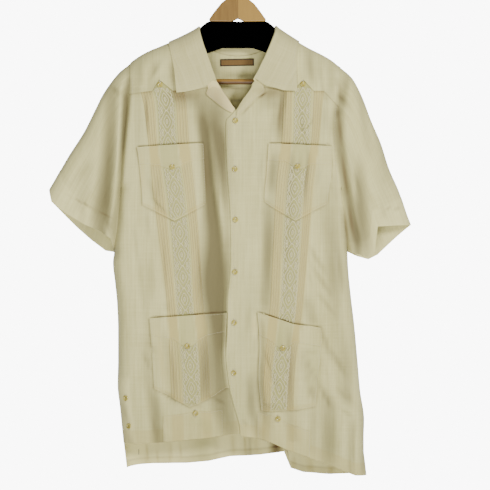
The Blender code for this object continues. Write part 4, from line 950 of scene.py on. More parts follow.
def strips(side, across, down):
    """How much of a place lies in the tuck groups, and how much in the embroidered strip."""
    def between_lines(first, second):
        a, b = BANDS[side][first](down), BANDS[side][second](down)
        room = np.minimum(across - np.minimum(a, b), np.maximum(a, b) - across)
        return smoothstep(-STRIP_SOFT, STRIP_SOFT, room)
    return np.maximum(between_lines(0, 1), between_lines(4, 5)), between_lines(2, 3)


def side_lines(side):
    """Lines from the side seam in to the first tuck, closest together at the seam."""
    seam, start = EDGE[side], BANDS[side][0]

    def inset_line(inset):
        return lambda down: seam(down) - side * inset * np.minimum(
            1, np.abs(seam(down) - start(down)) / SIDE_ROOM)
    lines = [inset_line(inset) for inset in SIDE_INSETS]
    return lines + [between(lines[-1], start, k / SIDE_COLUMNS) for k in range(1, SIDE_COLUMNS)]


def placket_line(down):
    """The closing edge, kept inside the right front above the top button."""
    return np.minimum(FRONT_EDGE[1](down), FRONT_EDGE[-1](down) - 3)


def vent_facing(across, down):
    """The buttoned facing down the side above the right vent, made of doubled cloth."""
    inset = np.abs(across - EDGE[-1](down))
    beside = smoothstep(VENT_FACING, VENT_FACING - VENT_FACING_SOFT, inset)
    return beside * smoothstep(VENT_FACING_TOP - VENT_FACING_FADE, VENT_FACING_TOP + VENT_FACING_FADE,
                               down)


def line_shade(past, line):
    """A soft line of shade beside an edge; the line is its shift from the edge and its half width."""
    return bump((past - line[0]) / line[1])


def pocket_shade(side, across, down):
    """The shade a front holds round its pockets: a soft line at their edges, deep at the mouth."""
    total = np.zeros(across.shape)
    waves = [down / high + across / wide for high, wide in UNEVEN_WAVES]
    even, changing = UNEVEN_SHARES
    uneven = even + changing * np.sin(waves[0]) * np.sin(waves[1] + side)
    for name, lines in POCKET_LINES.items():
        if side_of(name) != side:
            continue
        low, high = pocket_sides(name, down)
        top, bottom = lines["top"](across), lines["bottom"](across)
        inside_rows = smoothstep(-3, 3, down - top) * smoothstep(-3, 3, bottom - down)
        inside_columns = smoothstep(-1, 7, across - low) * smoothstep(-1, 7, high - across)
        edges = np.maximum(bump((across - low) / POCKET_LEFT_SHADE),
                           bump((across - high) / POCKET_RIGHT_SHADE) * POCKET_RIGHT_SHARE)
        foot = line_shade(down - bottom, POCKET_FOOT_SHADE) * inside_columns
        mouth = line_shade(down - top, MOUTH_SHADE_ROWS) * inside_columns
        held = np.maximum(POCKET_SHADE * np.maximum(edges * inside_rows, foot), MOUTH_SHADE * mouth)
        total = np.maximum(total, held * uneven)
    return total


def row_shares(side):
    """Rows down a front, closer together where the pockets' mouths cross it."""
    low = float(HEM[side](side * 100))
    stops = [SEAM_DOWN]
    while stops[-1] < low:
        near = any(start < stops[-1] < end for start, end in MOUTH_ROWS)
        stops.append(stops[-1] + (MOUTH_ROW_STEP if near else ROW_STEP))
    shares = (np.array(stops[1:-1]) - SEAM_DOWN) / (low - SEAM_DOWN)
    return np.concatenate((FIRST_ROWS, shares, [1]))


def build_front(side, name, finish):
    """A front from the yoke seam to the hem, its tucks pressed flat under the pockets."""
    lines = side_lines(side)
    relief = [0.0] * len(lines)
    bands, band_relief = band_lines(side)
    lines, relief = lines + bands, relief + band_relief
    last, inner = BANDS[side][5], FRONT_EDGE[side]
    if side > 0:
        lines += [between(last, inner, share) for share in LEFT_CLOSING_COLUMNS]
    else:
        lines += [between(last, inside_placket(PLACKET_LAP), share) for share in RIGHT_CLOSING_COLUMNS]
        lines += [inside_placket(inset) for inset in RIGHT_CLOSING_INSETS] + [inner]
    relief += [0.0] * (len(lines) - len(relief))
    across, down = grid_of(lines, YOKE_SEAM[side], HEM[side], row_shares(side))
    in_bands = above_low_pocket(side, across, down)
    hidden = sum(in_pocket(p, across, down) for p in POCKETS if side_of(p) == side)
    showing = 1 - np.clip(np.maximum(hidden, 1 - in_bands), 0, 1)
    lift, facing = 0.0, 0.0
    if side < 0:
        under = (across - placket_line(down) + PLACKET_LAP) / PLACKET_LAP_RAMP
        start = np.clip((down - PLACKET_DIP_DOWN) / PLACKET_DIP_RAMP, 0, 1)
        lift = -PLACKET_DIP * start * np.clip(under, 0, 1)
        # Painted light on the vent facing
        facing = FACING_LIT * vent_facing(across, down)
    tucked, worked = (mark * in_bands for mark in strips(side, across, down))
    hem = HEM[side](across) - down
    layers = tucked * TUCKED_LAYERS + smoothstep(HEM_DEPTH + 1, HEM_DEPTH - 1, hem) * HEM_LAYERS
    strength, *line = YOKE_SHADE
    under_yoke = strength * line_shade(down - YOKE_SEAM[side](across), line)
    shade = np.maximum(pocket_shade(side, across, down), under_yoke)
    return panel(name, across, down, FRONT, lift, finish,
                 relief=np.array(relief) * showing * TUCK_HEIGHT, layers=np.clip(layers, 0, 1),
                 worked=worked, lit=facing, shade=shade + tuck_feet(relief) * showing)


def build_back(finish):
    lines = [between(EDGE[-1], EDGE[1], share) for share in BACK_COLUMNS]
    across, down = grid_of(lines, lambda x: YOKE_BACK_DOWN + 0 * x, BACK_HEM_LINE,
                           np.array(BACK_ROWS), YOKE_BACK_DOWN)
    hem = BACK_HEM_LINE(across) - down
    shaded = sum(bump((across - x) / half) * smoothstep(start, start + BACK_SHADE_FADE, down) * depth
                 for x, half, start, depth in BACK_SHADES)
    strength, half = BACK_STITCHED_SHADE
    shaded += strength * line_shade(hem, (BACK_STITCHED, half))
    # Painted shadow of the fronts' hems along the back
    for side, (start, end) in UNDER_HEM.items():
        near, far = UNDER_HEM_FADES
        beside = smoothstep(start, start + near, across) * smoothstep(end, end - far, across)
        shaded += beside * line_shade(down - HEM[side](across), UNDER_HEM_SHADE)
    # Painted light on the back's inside, full towards the hem
    lit = mix(BACK_LIT, 1, smoothstep(BACK_LIT_FROM, BACK_LIT_FROM + BACK_LIT_FADE, down))
    layers = smoothstep(BACK_STITCHED + 1, BACK_STITCHED - 1, hem) * BACK_HEM_LAYERS
    return panel("back_cloth", across, down, BACK, 0.0, finish, lit=lit,
                 shade=np.clip(shaded, 0, 1), layers=layers)


def neck_back(across):
    share = np.minimum(np.abs(across) / NECK_WIDTH, 1.0)
    return NECK_BACK_DOWN + NECK_DROP * np.sqrt(1 - share ** 2)


def yoke_columns(side):
    """Across of the yoke's columns at its front seam, and their share from armhole to neck."""
    knots = [x for x, _ in sorted(yoke_knots(side), reverse=side > 0)]
    knots[0] = float(EDGE[side](yoke_knots(side)[0][1]))
    knots[-1] = float(NECK_LINE[side](YOKE_NECK_FOOT))
    line = []
    for a, b in zip(knots, knots[1:]):
        steps = max(int(abs(b - a) / YOKE_COLUMN), 1)
        line += [mix(a, b, k / steps) for k in range(steps)]
    line = np.array(line + [knots[-1]])
    return line, (line - knots[0]) / (knots[-1] - knots[0])


def build_yoke(finish):
    """One piece: two shoulders that wrap over the shoulder line, joined behind the neck."""
    climbs, falls = np.array(YOKE_CLIMBS), np.array(YOKE_FALLS)
    rows = len(climbs) + len(falls)
    blocks = []
    for side in (-1, 1):
        seam_x, share = yoke_columns(side)
        foot = YOKE_SEAM[side](seam_x)
        head = SHOULDER(mix(EDGE[side](ARMHOLE_TOP), side * NECK_WIDTH, share))
        down = foot[None] + (head - foot)[None] * climbs[:, None]
        slides = [line(down) - line(foot) for line in (EDGE[side], NECK_LINE[side])]
        across = seam_x + mix(*slides, share)
        down = np.maximum(down, SHOULDER(across) + BELOW_SHOULDER)
        down[-1] = SHOULDER(across[-1])
        face = np.full(across.shape, FRONT)
        face[-1] = RIDGE
        armhole_x = EDGE[side](mix(ARMHOLE_TOP, YOKE_BACK_DOWN, falls))[:, None]
        back_x = mix(armhole_x, side * NECK_WIDTH, share)
        back_down = mix(SHOULDER(back_x), YOKE_BACK_DOWN, falls[:, None])
        block = [np.concatenate((across, back_x)), np.concatenate((down, back_down)),
                 np.concatenate((face, np.full(back_x.shape, BACK))),
                 np.ones((rows, len(share)), bool)]
        blocks.append(block if side < 0 else [grid[:, ::-1] for grid in block])
    turns = np.linspace(0, 1, NECK_TURNS)[1:-1]
    middle_x = -NECK_WIDTH * np.cos(math.pi * turns)
    fall = np.concatenate((np.zeros(len(climbs)), falls))[:, None]
    middle = [np.broadcast_to(middle_x, (rows, len(turns))),
              mix(neck_back(middle_x), YOKE_BACK_DOWN, fall), np.full((rows, len(turns)), BACK),
              np.broadcast_to(np.arange(rows)[:, None] >= len(climbs) - 1, (rows, len(turns)))]
    across, down, face, present = (np.concatenate(parts, 1)
                                   for parts in zip(blocks[0], middle, blocks[1]))
    return panel("yoke_cloth", across, down, face, np.where(face == FRONT, YOKE_LIFT, 0), finish,
                 present=present)


def build_sleeve(side, name, cuff, finish):
    """A tube from the armhole to the hem, closed round the shoulder fold and underarm seam."""
    shares = np.array(sorted({row[0] for rows in cuff.values() for row in rows} | SLEEVE_SHARES))
    rings = np.array(SLEEVE_RINGS)
    end = {face: [Curve(rows, column, curved=False) for column in (1, 2)]
           for face, rows in cuff.items()}
    v = rings[:, None]

    def top_at(share):
        across = mix(EDGE[side](ARMHOLE_TOP), cuff[FRONT][0][1], share)
        return across, SHOULDER(across)

    def low_at(share):
        down = mix(UNDERARM_DOWN, cuff[FRONT][-1][2], share)
        return EDGE[side](down) - side * SLEEVE_LAP, down

    def armhole(w):
        down = mix(SHOULDER(EDGE[side](ARMHOLE_TOP)), UNDERARM_DOWN, w)
        return EDGE[side](down), down

    def spot(w, face):
        found = []
        for k in (0, 1):
            flat = mix(armhole(w)[k], end[face][k](w), v)
            high = top_at(v)[k] - mix(armhole(0.0)[k], end[face][k](0.0), v)
            low = low_at(v)[k] - mix(armhole(1.0)[k], end[face][k](1.0), v)
            found.append(flat + high * (1 - w) + low * w)
        return found
    back_shares = shares[-2:0:-1]
    across, down = (np.concatenate(halves, 1) for halves in zip(spot(shares[None], FRONT),
                                                                spot(back_shares[None], BACK)))
    across = across - side * SLEEVE_HEAD_TUCK * (v == 0)
    face = np.broadcast_to(np.where(np.arange(across.shape[1]) < len(shares), FRONT, BACK),
                           across.shape).copy()
    face[:, 0] = RIDGE
    lift = np.zeros(v.shape)
    lift[:2, 0] = SLEEVE_HEAD_LIFTS
    around, along = SLEEVE_FLAT
    uv = np.stack(np.broadcast_arrays(np.concatenate((shares, 2 - back_shares)) * around, v * along), -1)
    hem = smoothstep(SLEEVE_HEM, SLEEVE_HEM + 0.01, v)
    return panel(name, across, down, face, lift, finish, relief=SLEEVE_HEM_LIFT * hem,
                 lit=SLEEVE_HEM_LIT * hem, closed=True, uv=uv), (across, down, face)


def pocket_lift(name, across, down):
    """How far a pocket stands off its front: pressed at its edges, gaping at its mouth."""
    lines = POCKET_LINES[name]
    outer, inner, top, low = (lines[key](at) for key, at in (
        ("outer", down), ("inner", down), ("top", across), ("bottom", across)))
    share = np.clip((across - outer) / (inner - outer), 0, 1)
    height = np.clip((down - top) / (low - top), 0, 1)
    swell = bump(2 * share - 1) * bump((height - 0.5) * 1.7) * POCKET_PUFF
    mouth = bump(2 * share - 1) * smoothstep(0.35, 0.0, height) * (POCKET_GAPE + POCKET_PUFF * 0.5)
    return POCKET_EDGE + swell + mouth


def build_pocket(name, finish):
    """A patch pocket whose tucks and embroidery run on from the front's."""
    side, lines = side_of(name), POCKET_LINES[name]
    bands, relief = band_lines(side)
    before, after = POCKET_COLUMNS
    columns = ([between(lines["outer"], BANDS[side][0], share) for share in before] + bands
               + [between(BANDS[side][5], lines["inner"], share) for share in after])
    relief = np.array([0.0] * len(before) + relief + [0.0] * len(after))
    across, down = grid_of(columns, lines["top"], lines["bottom"], np.array(POCKET_ROWS), POCKET_START)
    above_foot = lines["bottom"](across) - down
    showing = smoothstep(-2, 2, down - lines["band"](across)) * smoothstep(0, 4, above_foot)
    tucked, worked = strips(side, across, down)
    layers = tucked * POCKET_LAYERS + smoothstep(8, 6, above_foot) * POCKET_HEM_LAYERS
    return panel(name + "_cloth", across, down, FRONT, pocket_lift(name, across, down), finish,
                 relief=relief * showing * TUCK_HEIGHT * POCKET_TUCK_SHARE,
                 layers=np.clip(layers, 0, 1), worked=worked * showing,
                 shade=tuck_feet(relief) * showing)


def build_pocket_band(name, finish):
    """The pointed band along a pocket's top, laid on the pocket."""
    lines = POCKET_LINES[name]
    knots = [x for x, _ in POCKETS[name]["band"][1:-1]]
    pieces = len(knots) + 1
    columns = []
    for at in np.linspace(0, pieces, pieces * BAND_COLUMNS + 1):
        def line(down, at=at):
            low, high = pocket_sides(name, down)
            stops = [low, *(knot + 0 * down for knot in knots), high]
            piece = min(int(at), pieces - 1)
            return mix(stops[piece], stops[piece + 1], at - piece)
        columns.append(line)
    across, down = grid_of(columns, lambda x: lines["top"](x) - BAND_OVER_TOP, lines["band"],
                           np.linspace(0, 1, BAND_ROWS), POCKET_BAND_START)
    lift = pocket_lift(name, across, down) + BAND_LIFT
    tucked, worked = strips(side_of(name), across, down)
    plain, pleated, silk = BAND_MARKS
    return panel(name.replace("pocket", "band") + "_cloth", across, down, FRONT, lift, finish,
                 layers=plain + tucked * pleated, worked=worked * silk)


def hem_band_top(shape, across):
    near = np.maximum(1 - np.abs(across - shape["point"]) / HEM_BAND_POINT_WIDTH, 0)
    return HEM[shape["side"]](across) - HEM_BAND_HEIGHT - HEM_BAND_POINT * near


def build_hem_band(name, finish):
    shape = HEM_BANDS[name]
    point, half = shape["point"], HEM_BAND_POINT_WIDTH
    stops = (shape["start"], point - half, point, point + half, shape["end"])
    line = np.concatenate([np.linspace(a, b, 9)[:-1] for a, b in zip(stops, stops[1:])]
                          + [[stops[-1]]])
    shares = np.linspace(0, 1, BAND_ROWS)[:, None]
    down = mix(hem_band_top(shape, line), HEM[shape["side"]](line) - HEM_BAND_UP, shares)
    across = np.broadcast_to(line, down.shape)
    tucked, _ = strips(shape["side"], across, down)
    plain, pleated = HEM_BAND_MARKS
    return panel(name + "_cloth", across, down, FRONT, BAND_LIFT, finish,
                 layers=plain + tucked * pleated)


# Collar from the wearer's right end round the back to the left: face, then neck edge, stand
# (sideways, outwards, up) and outer edge, and the bow of its line between them
COLLAR = (
    (FRONT, -47, 253, 5, 5, 8, -118, 271, 3.5), (FRONT, -55, 232, 5, 6, 9, -120, 248, 1),
    (FRONT, -63, 206, 4, 7, 8, -123, 224, 0), (FRONT, -70, 180, 2, 6, 7, -127, 202, 0),
    (FRONT, -74, 160, 0, 5, 7, -131, 184, 0), (FRONT, -75, 152, 0, 2, 9, -133, 175, 0),
    (RIDGE, -75, 150, 0, 0, 10, -133, 172, 0), (BACK, -75, 152, 0, 1, 10, -133, 175, 0),
    (BACK, -73, 161, 0, 3, 11, -130, 188, 0), (BACK, -62, 176, 0, 2, 15, -110, 218, 0),
    (BACK, -36, 191, 0, 1, 18, -62, 235, 0), (BACK, 0, 196, 0, 1, 19, 0, 240, 0),
    (BACK, 36, 190, 0, 1, 18, 60, 235, 0), (BACK, 60, 176, 0, 2, 15, 100, 218, 0),
    (BACK, 73, 160, 0, 3, 11, 116, 186, 0), (BACK, 75, 151, 0, 1, 10, 119, 174, 0),
    (RIDGE, 75, 149, 0, 0, 10, 119, 171, 0), (FRONT, 75, 151, 0, 2, 9, 119, 174, 0),
    (FRONT, 74, 160, 0, 5, 7, 118, 182, 0), (FRONT, 68, 180, -2, 6, 7, 116, 200, 0),
    (FRONT, 59, 206, -4, 7, 8, 115, 222, 0), (FRONT, 48, 232, -5, 6, 9, 115, 246, 1),
    (FRONT, 37, 251, -5, 5, 8, 116, 268, 3))
COLLAR_SEAT = 1.2
COLLAR_EDGE_LIFT = 2.8
COLLAR_TIP_LIFT = 5.0
COLLAR_ROLL_HALF = 3.0
COLLAR_ROLL_DROP = 2.5
COLLAR_LEAF = (0.1, 0.22, 0.45, 0.72, 0.9, 1.0)
COLLAR_LEAF_RISE = 0.55
COLLAR_LEAF_FALL = 1.4
COLLAR_STEPS = 8
COLLAR_ROWS = 34
COLLAR_TIPS = (190, 262)
COLLAR_CLEAR = 0.05
COLLAR_LAYERS = 0.1

# Lapels from the gorge down to the top button: roll across and down, outer edge across and down
LAPELS = {
    "right_lapel": ((-42, 246, -60, 252), (-37, 253, -57, 261), (-34, 258, -60, 273),
                    (-26, 270, -47, 285), (-16, 285, -32, 297), (-9, 296, -18, 306),
                    (-5, 301, -9, 309)),
    "left_lapel": ((34, 246, 54, 250), (28, 254, 51, 259), (27, 259, 54, 270), (21, 269, 40, 279),
                   (12, 281, 27, 291), (5, 292, 12, 305), (0, 301, -1, 317))}
LAPEL_LIFT = 3.2
LAPEL_PUFF = 1.5
LAPEL_ROLL = (-0.02, 0.04)
LAPEL_ROLL_LIFT = 0.4
LAPEL_ROWS = 40
LAPEL_COLUMNS = 22
LAPEL_LAYERS = 0.25

# The neck label: across, down, its lean, how far it lies inside the back and how thick it is
LABEL_ACROSS = (-34, 32)
LABEL_DOWN = (201, 215)
LABEL_LEAN = 0.02
LABEL_UNDER = 1.6
LABEL_RIBBON = 0.6
LABEL_BORDER = (2.2, 1.6)

# Buttons: their turned outline as radius and height, and each one's across, down and what it
# lies on
BUTTON_THICK = 2.2
BUTTON_SIDES = 24
BUTTON_PROFILE = ((1.35, 0.58), (2.2, 0.6), (3.0, 0.72), (3.7, 1.05), (4.3, 1.22), (4.9, 1.16),
                  (5.3, 0.85), (5.4, 0.5), (5.0, 0.16), (4.0, 0.0), (2.2, 0.0), (1.35, 0.0))
BUTTON_LIFTS = {"front": 0.3, "hem": 1.5}
ON_POCKET = 1.3
BUTTONS = {
    "placket_button_1": (-4, 325, "front"), "placket_button_2": (-5, 419, "front"),
    "placket_button_3": (-4, 517, "front"), "placket_button_4": (-5, 618, "front"),
    "placket_button_5": (-6, 716, "front"), "placket_button_6": (-7, 813, "front"),
    "yoke_button_r": (-150, 255, "front"), "yoke_button_l": (127, 254, "front"),
    "chest_button_r": (-126, 415, "chest_pocket_r"), "chest_button_l": (117, 414, "chest_pocket_l"),
    "lower_button_r": (-97, 761, "lower_pocket_r"), "lower_button_l": (87, 765, "lower_pocket_l"),
    "hem_button_r": (-81, 891, "hem"), "hem_button_l": (78, 902, "hem"),
    "vent_button_1": (-216, 862, "front"), "vent_button_2": (-210, 916, "front")}


def resample(points, count):
    """Points on a smooth line through the given ones, evenly apart."""
    points = np.asarray(points, float)
    before = np.concatenate((2 * points[:1] - points[1:2], points[:-1]))
    after = np.concatenate((points[1:], 2 * points[-1:] - points[-2:-1]))
    lean = (after - before) / 2
    t = np.linspace(0, 1, 13)[:-1, None]
    dense = [eased(t, *ends) for ends in zip(points, points[1:], lean, lean[1:])]
    dense = np.concatenate(dense + [points[-1:]])
    length = np.concatenate(([0], np.cumsum(np.linalg.norm(np.diff(dense, axis=0), axis=1))))
    at = np.linspace(0, length[-1], count)
    return np.stack([np.interp(at, length, dense[:, k]) for k in range(dense.shape[1])], 1)


def collar_face(at):
    """The face of the shirt that a place along the collar lies on."""
    here = COLLAR[int(at)][0]
    return here if at == int(at) else here or COLLAR[int(at) + 1][0]


def one_place(across, down, face, lift):
    """A single point of the form."""
    return place(float(across), float(down), face, float(lift))[0]


def collar_columns():
    """The collar's cross sections from its neck seam over the roll to its outer edge."""
    keys = range(len(COLLAR))
    tables = [Curve([(k, COLLAR[k][column]) for k in keys]) for column in range(1, 9)]
    columns = []
    for step in range((len(COLLAR) - 1) * COLLAR_STEPS + 1):
        at = step / COLLAR_STEPS
        face = collar_face(at)
        neck_x, neck_d, sideways, out, up, edge_x, edge_d, bow = [float(t(at)) for t in tables]
        if face == RIDGE:
            neck_d, edge_d = SHOULDER(neck_x), SHOULDER(edge_x)
        else:
            neck_d = max(neck_d, float(SHOULDER(neck_x)) + COLLAR_CLEAR)
        neck = one_place(neck_x, neck_d, face, COLLAR_SEAT)
        roll = one_place(neck_x, neck_d, face, COLLAR_SEAT + out) + np.array((sideways, 0, up))
        at_tip = float(smoothstep(*COLLAR_TIPS, edge_d)) * (face == FRONT)
        edge_lift = COLLAR_EDGE_LIFT + COLLAR_TIP_LIFT * at_tip
        rim = one_place(edge_x, edge_d, face, edge_lift)
        height = np.linalg.norm(roll - neck)
        rise = (roll - neck) / height
        away = rim - neck
        away = away - rise * away.dot(rise)
        away /= np.linalg.norm(away)
        near = roll - away * COLLAR_ROLL_HALF - rise * COLLAR_ROLL_DROP
        column = [neck, mix(neck, near, 0.5), near, roll,
                  roll + away * COLLAR_ROLL_HALF - rise * COLLAR_ROLL_DROP]
        for share in COLLAR_LEAF[1:]:
            x = mix(neck_x, edge_x, share)
            d = float(SHOULDER(x)) if face == RIDGE else mix(neck_d, edge_d, share)
            d = max(d + bow * 4 * share * (1 - share),
                    float(SHOULDER(x)) + COLLAR_CLEAR * abs(face))
            lift = mix(COLLAR_EDGE_LIFT, edge_lift, share) + (
                COLLAR_LEAF_RISE * height * (1 - share) ** COLLAR_LEAF_FALL)
            column.append(one_place(x, d, face, lift))
        columns.append(resample(column, COLLAR_ROWS))
    return np.stack(columns, 1)


def unit(vectors):
    return vectors / np.maximum(np.linalg.norm(vectors, axis=-1, keepdims=True), TINY)


def offset(grid, cloth):
    """A grid moved to the cloth's other side, along the mean of its faces' normals."""
    total = np.zeros(grid.shape)
    normal = unit(np.cross(grid[1:, 1:] - grid[:-1, :-1], grid[1:, :-1] - grid[:-1, 1:]))
    rows, columns = normal.shape[:2]
    for dr, dc in ((0, 0), (0, 1), (1, 0), (1, 1)):
        total[dr:dr + rows, dc:dc + columns] += normal
    return grid - unit(total) * cloth


def flat_map(grid):
    """Lengths along a grid's rows and columns, as the cloth lies flat."""
    down = np.concatenate((np.zeros((1,) + grid.shape[1:2]),
                           np.cumsum(np.linalg.norm(np.diff(grid, axis=0), axis=-1), 0)))
    middle = np.linalg.norm(np.diff(grid, axis=1), axis=-1).mean(0)
    along = np.broadcast_to(np.concatenate(([0], np.cumsum(middle))), down.shape)
    return np.stack((along, down), -1)


def build_collar(finish):
    grid = collar_columns()
    piece = shell("collar_cloth", grid, offset(grid, DOUBLE_CLOTH), finish, flat_map(grid)[..., ::-1],
                  layers=COLLAR_LAYERS)
    return piece, grid


def build_lapel(name, finish):
    rows = resample(LAPELS[name], LAPEL_ROWS)
    share = np.linspace(0, 1, LAPEL_COLUMNS)
    across = mix(rows[:, :1], rows[:, 2:3], share)
    down = mix(rows[:, 1:2], rows[:, 3:4], share)
    lift = LAPEL_LIFT + LAPEL_PUFF * bump(2 * share - 1)
    turned = smoothstep(*LAPEL_ROLL, share)
    lift = lift * turned + LAPEL_ROLL_LIFT * (1 - turned)
    return panel(name + "_cloth", across, down, FRONT, lift, finish, cloth=DOUBLE_CLOTH,
                 layers=LAPEL_LAYERS), (across, down)


def build_label(finish):
    """A ribbon inside the neck, left plain, with a darker woven edge."""
    across, down = np.meshgrid(np.linspace(*LABEL_ACROSS, 90), np.linspace(*LABEL_DOWN, 24))
    border = np.minimum(np.minimum(across - LABEL_ACROSS[0], LABEL_ACROSS[1] - across),
                        np.minimum(down - LABEL_DOWN[0], LABEL_DOWN[1] - down))
    down = down - LABEL_LEAN * across
    outer, inner = (place(across, down, BACK, -lift)[0]
                    for lift in (LABEL_UNDER, LABEL_UNDER + LABEL_RIBBON))
    return shell("neck_label_ribbon", outer, inner, finish, np.stack((across, down), -1),
                 layers=smoothstep(*LABEL_BORDER, border))


def button_lift(on, across, down):
    """How far out a button lies, on its pocket, its hem band or the front."""
    if on in POCKETS:
        return float(pocket_lift(on, np.array(across), np.array(down))) + ON_POCKET
    return BUTTON_LIFTS[on]


def button_place(across, down, on, above=0.0):
    """A button's middle, and the way out of the cloth."""
    lift = button_lift(on, across, down)
    return place(np.array(float(across)), np.array(float(down)), FRONT, lift + above)


def button_mesh():
    """A turned button with a sunk middle and a round rim."""
    turns = [2 * math.pi * k / BUTTON_SIDES for k in range(BUTTON_SIDES)]
    tall = BUTTON_THICK / max(height for _, height in BUTTON_PROFILE)
    shape = bmesh.new()
    rings = [[shape.verts.new((radius * math.cos(t), radius * math.sin(t), height * tall))
              for t in turns] for radius, height in BUTTON_PROFILE]
    for high, low in zip(rings, rings[1:]):
        for k in range(BUTTON_SIDES):
            n = (k + 1) % BUTTON_SIDES
            shape.faces.new((high[k], low[k], low[n], high[n]))
    for ring in (rings[0], rings[-1][::-1]):
        shape.faces.new(ring)
    bmesh.ops.recalc_face_normals(shape, faces=shape.faces)
    mesh = bpy.data.meshes.new("button_blank")
    shape.to_mesh(mesh)
    shape.free()
    return mesh


# Stitches: half length, half width and half height of one, and how far apart they are. Then
# where each run of them lies
TOPSTITCH = dict(size=(1.25, 0.26, 0.22), apart=3.1)
TUCK_STITCH = dict(size=(0.95, 0.2, 0.16), apart=2.7)
SATIN = dict(size=(1.7, 0.55, 0.5), apart=1.0)
BUTTONHOLE = dict(size=(1.0, 0.22, 0.3), apart=0.5)
OPEN_BUTTONHOLE = dict(size=(0.9, 0.75, 0.2), apart=0.8)
BUTTON_THREAD = dict(size=(1.7, 0.3, 0.3))
VENT_BUTTONHOLE = (-194, (967, 977))
INSIDE_CLOTH = 0.6
ALONG_STEP = 0.4
SATIN_LIFT = 0.25
BUTTONHOLE_HALF = 8.0
BUTTONHOLE_ROWS = (-1.1, 1.1)
THREAD_ABOVE = 1.25
THREADS_APART = 1.2
STITCHED_DOWN = (246, 1000)
TUCK_STITCHED = 0.92
TOP_CLEAR = 1.5
FOOT_CLEAR = 2.5
SEAM_CLEAR = 3.0
OVER_CLOTH = 0.1
OVER_POCKET = 0.15
EDGE_IN = 2.0
YOKE_STITCHED = 0.6
HEM_START = 930
CLOSING_IN = 4.0
CLOSING_STITCH_IN = 4.5
CLOSING_STITCHED = (342, 920)
ARMHOLE_ENDS = (3.0, 8.0)
ARMHOLE_IN = 6.0
ARMHOLE_STITCHED = 0.55
BACK_HEM_STITCHED = (-205, 240)
BACK_YOKE_STITCHED = (-198, 188)
SLEEVE_STITCHED = 0.862
COLLAR_STITCHED = (-4, 4, -5)
COLLAR_OVER = 0.12
LAPEL_STITCHED = -4
POCKET_IN = 1.8
COVERED_SIDE = ("lower_pocket_r", "inner")
POCKETS_DOWN = (360, 890)
POCKETS_ACROSS = (-200, 190)
POCKET_ROWS_STITCHED = (("bottom", -POCKET_IN, 0.0), ("band", -POCKET_IN, 1.1), ("top", 2.2, 1.1))


def sewing_tree():
    """Lays one low rounded stitch on each point, along its thread and square to the cloth."""
    tree = bpy.data.node_groups.new("laid_stitches", "GeometryNodeTree")
    for name, way, kind in (("Geometry", "OUTPUT", "Geometry"), ("Geometry", "INPUT", "Geometry"),
                            ("Half size", "INPUT", "Vector"), ("Thread", "INPUT", "Material")):
        tree.interface.new_socket(name, in_out=way, socket_type="NodeSocket" + kind)

    def node(kind, sockets, out=0, **settings):
        made = tree.nodes.new(kind)
        for key, value in settings.items():
            setattr(made, key, value)
        for key, value in sockets.items():
            if isinstance(value, bpy.types.NodeSocket):
                tree.links.new(value, made.inputs[key])
            else:
                made.inputs[key].default_value = value
        return made.outputs[out] if made.outputs else None

    def aligned(axis, pivot, name, **turned):
        way = node("GeometryNodeInputNamedAttribute", {"Name": name}, "Attribute",
                   data_type="FLOAT_VECTOR")
        return node("FunctionNodeAlignRotationToVector", {"Vector": way, **turned}, "Rotation",
                    axis=axis, pivot_axis=pivot)
    start = tree.nodes.new("NodeGroupInput").outputs
    stitch = node("GeometryNodeMeshIcoSphere", {"Radius": 1.0, "Subdivisions": 1}, "Mesh")
    turned = aligned("X", "Z", "along", Rotation=aligned("Z", "AUTO", "out"))
    laid = node("GeometryNodeInstanceOnPoints", {
        "Points": start["Geometry"], "Instance": stitch, "Rotation": turned,
        "Scale": start["Half size"]}, "Instances")
    real = node("GeometryNodeRealizeInstances", {"Geometry": laid}, "Geometry")
    smooth = node("GeometryNodeSetShadeSmooth", {"Geometry": real}, "Geometry")
    sewn = node("GeometryNodeSetMaterial", {"Geometry": smooth, "Material": start["Thread"]})
    node("NodeGroupOutput", {"Geometry": sewn})
    return tree


def sew(name, tree, runs, kind, thread):
    """Stitches laid on runs of (points, along, out), made one plain mesh."""
    points, along, out = (np.concatenate([run[k] for run in runs]) for k in range(3))
    mesh = bpy.data.meshes.new(name + "_points")
    mesh.from_pydata((points * MM).tolist(), [], [])
    for key, values in (("along", along), ("out", out)):
        mesh.attributes.new(key, "FLOAT_VECTOR", "POINT").data.foreach_set(
            "vector", values.astype(np.float32).ravel())
    source = bpy.data.objects.new(name + "_points", mesh)
    bpy.context.scene.collection.objects.link(source)
    laid = source.modifiers.new("Laid stitches", "NODES")
    laid.node_group = tree
    sockets = {item.name: item.identifier for item in tree.interface.items_tree
               if item.in_out == "INPUT"}
    laid[sockets["Half size"]] = [side * MM for side in kind["size"]]
    laid[sockets["Thread"]] = thread
    seen = source.evaluated_get(bpy.context.evaluated_depsgraph_get())
    plain = bpy.data.meshes.new_from_object(seen)
    plain.name = name
    for key in ("along", "out"):
        if key in plain.attributes:
            plain.attributes.remove(plain.attributes[key])
    bpy.data.objects.remove(source, do_unlink=True)
    plain.materials.clear()
    return add_object(name, plain, thread)


def spaced(points, out, apart):
    """Places evenly apart on a line of points, with their way along it and out of the cloth."""
    steps = np.linalg.norm(np.diff(points, axis=0), axis=1)
    length = np.concatenate(([0], np.cumsum(steps)))
    if length[-1] < apart:
        return (np.zeros((0, 3)),) * 3
    at = np.arange(apart / 2, length[-1], apart)

    def read(values, spots):
        return np.stack([np.interp(spots, length, values[:, k]) for k in range(3)], 1)
    ahead, behind = np.minimum(at + ALONG_STEP, length[-1]), np.maximum(at - ALONG_STEP, 0)
    return read(points, at), unit(read(points, ahead) - read(points, behind)), unit(read(out, at))


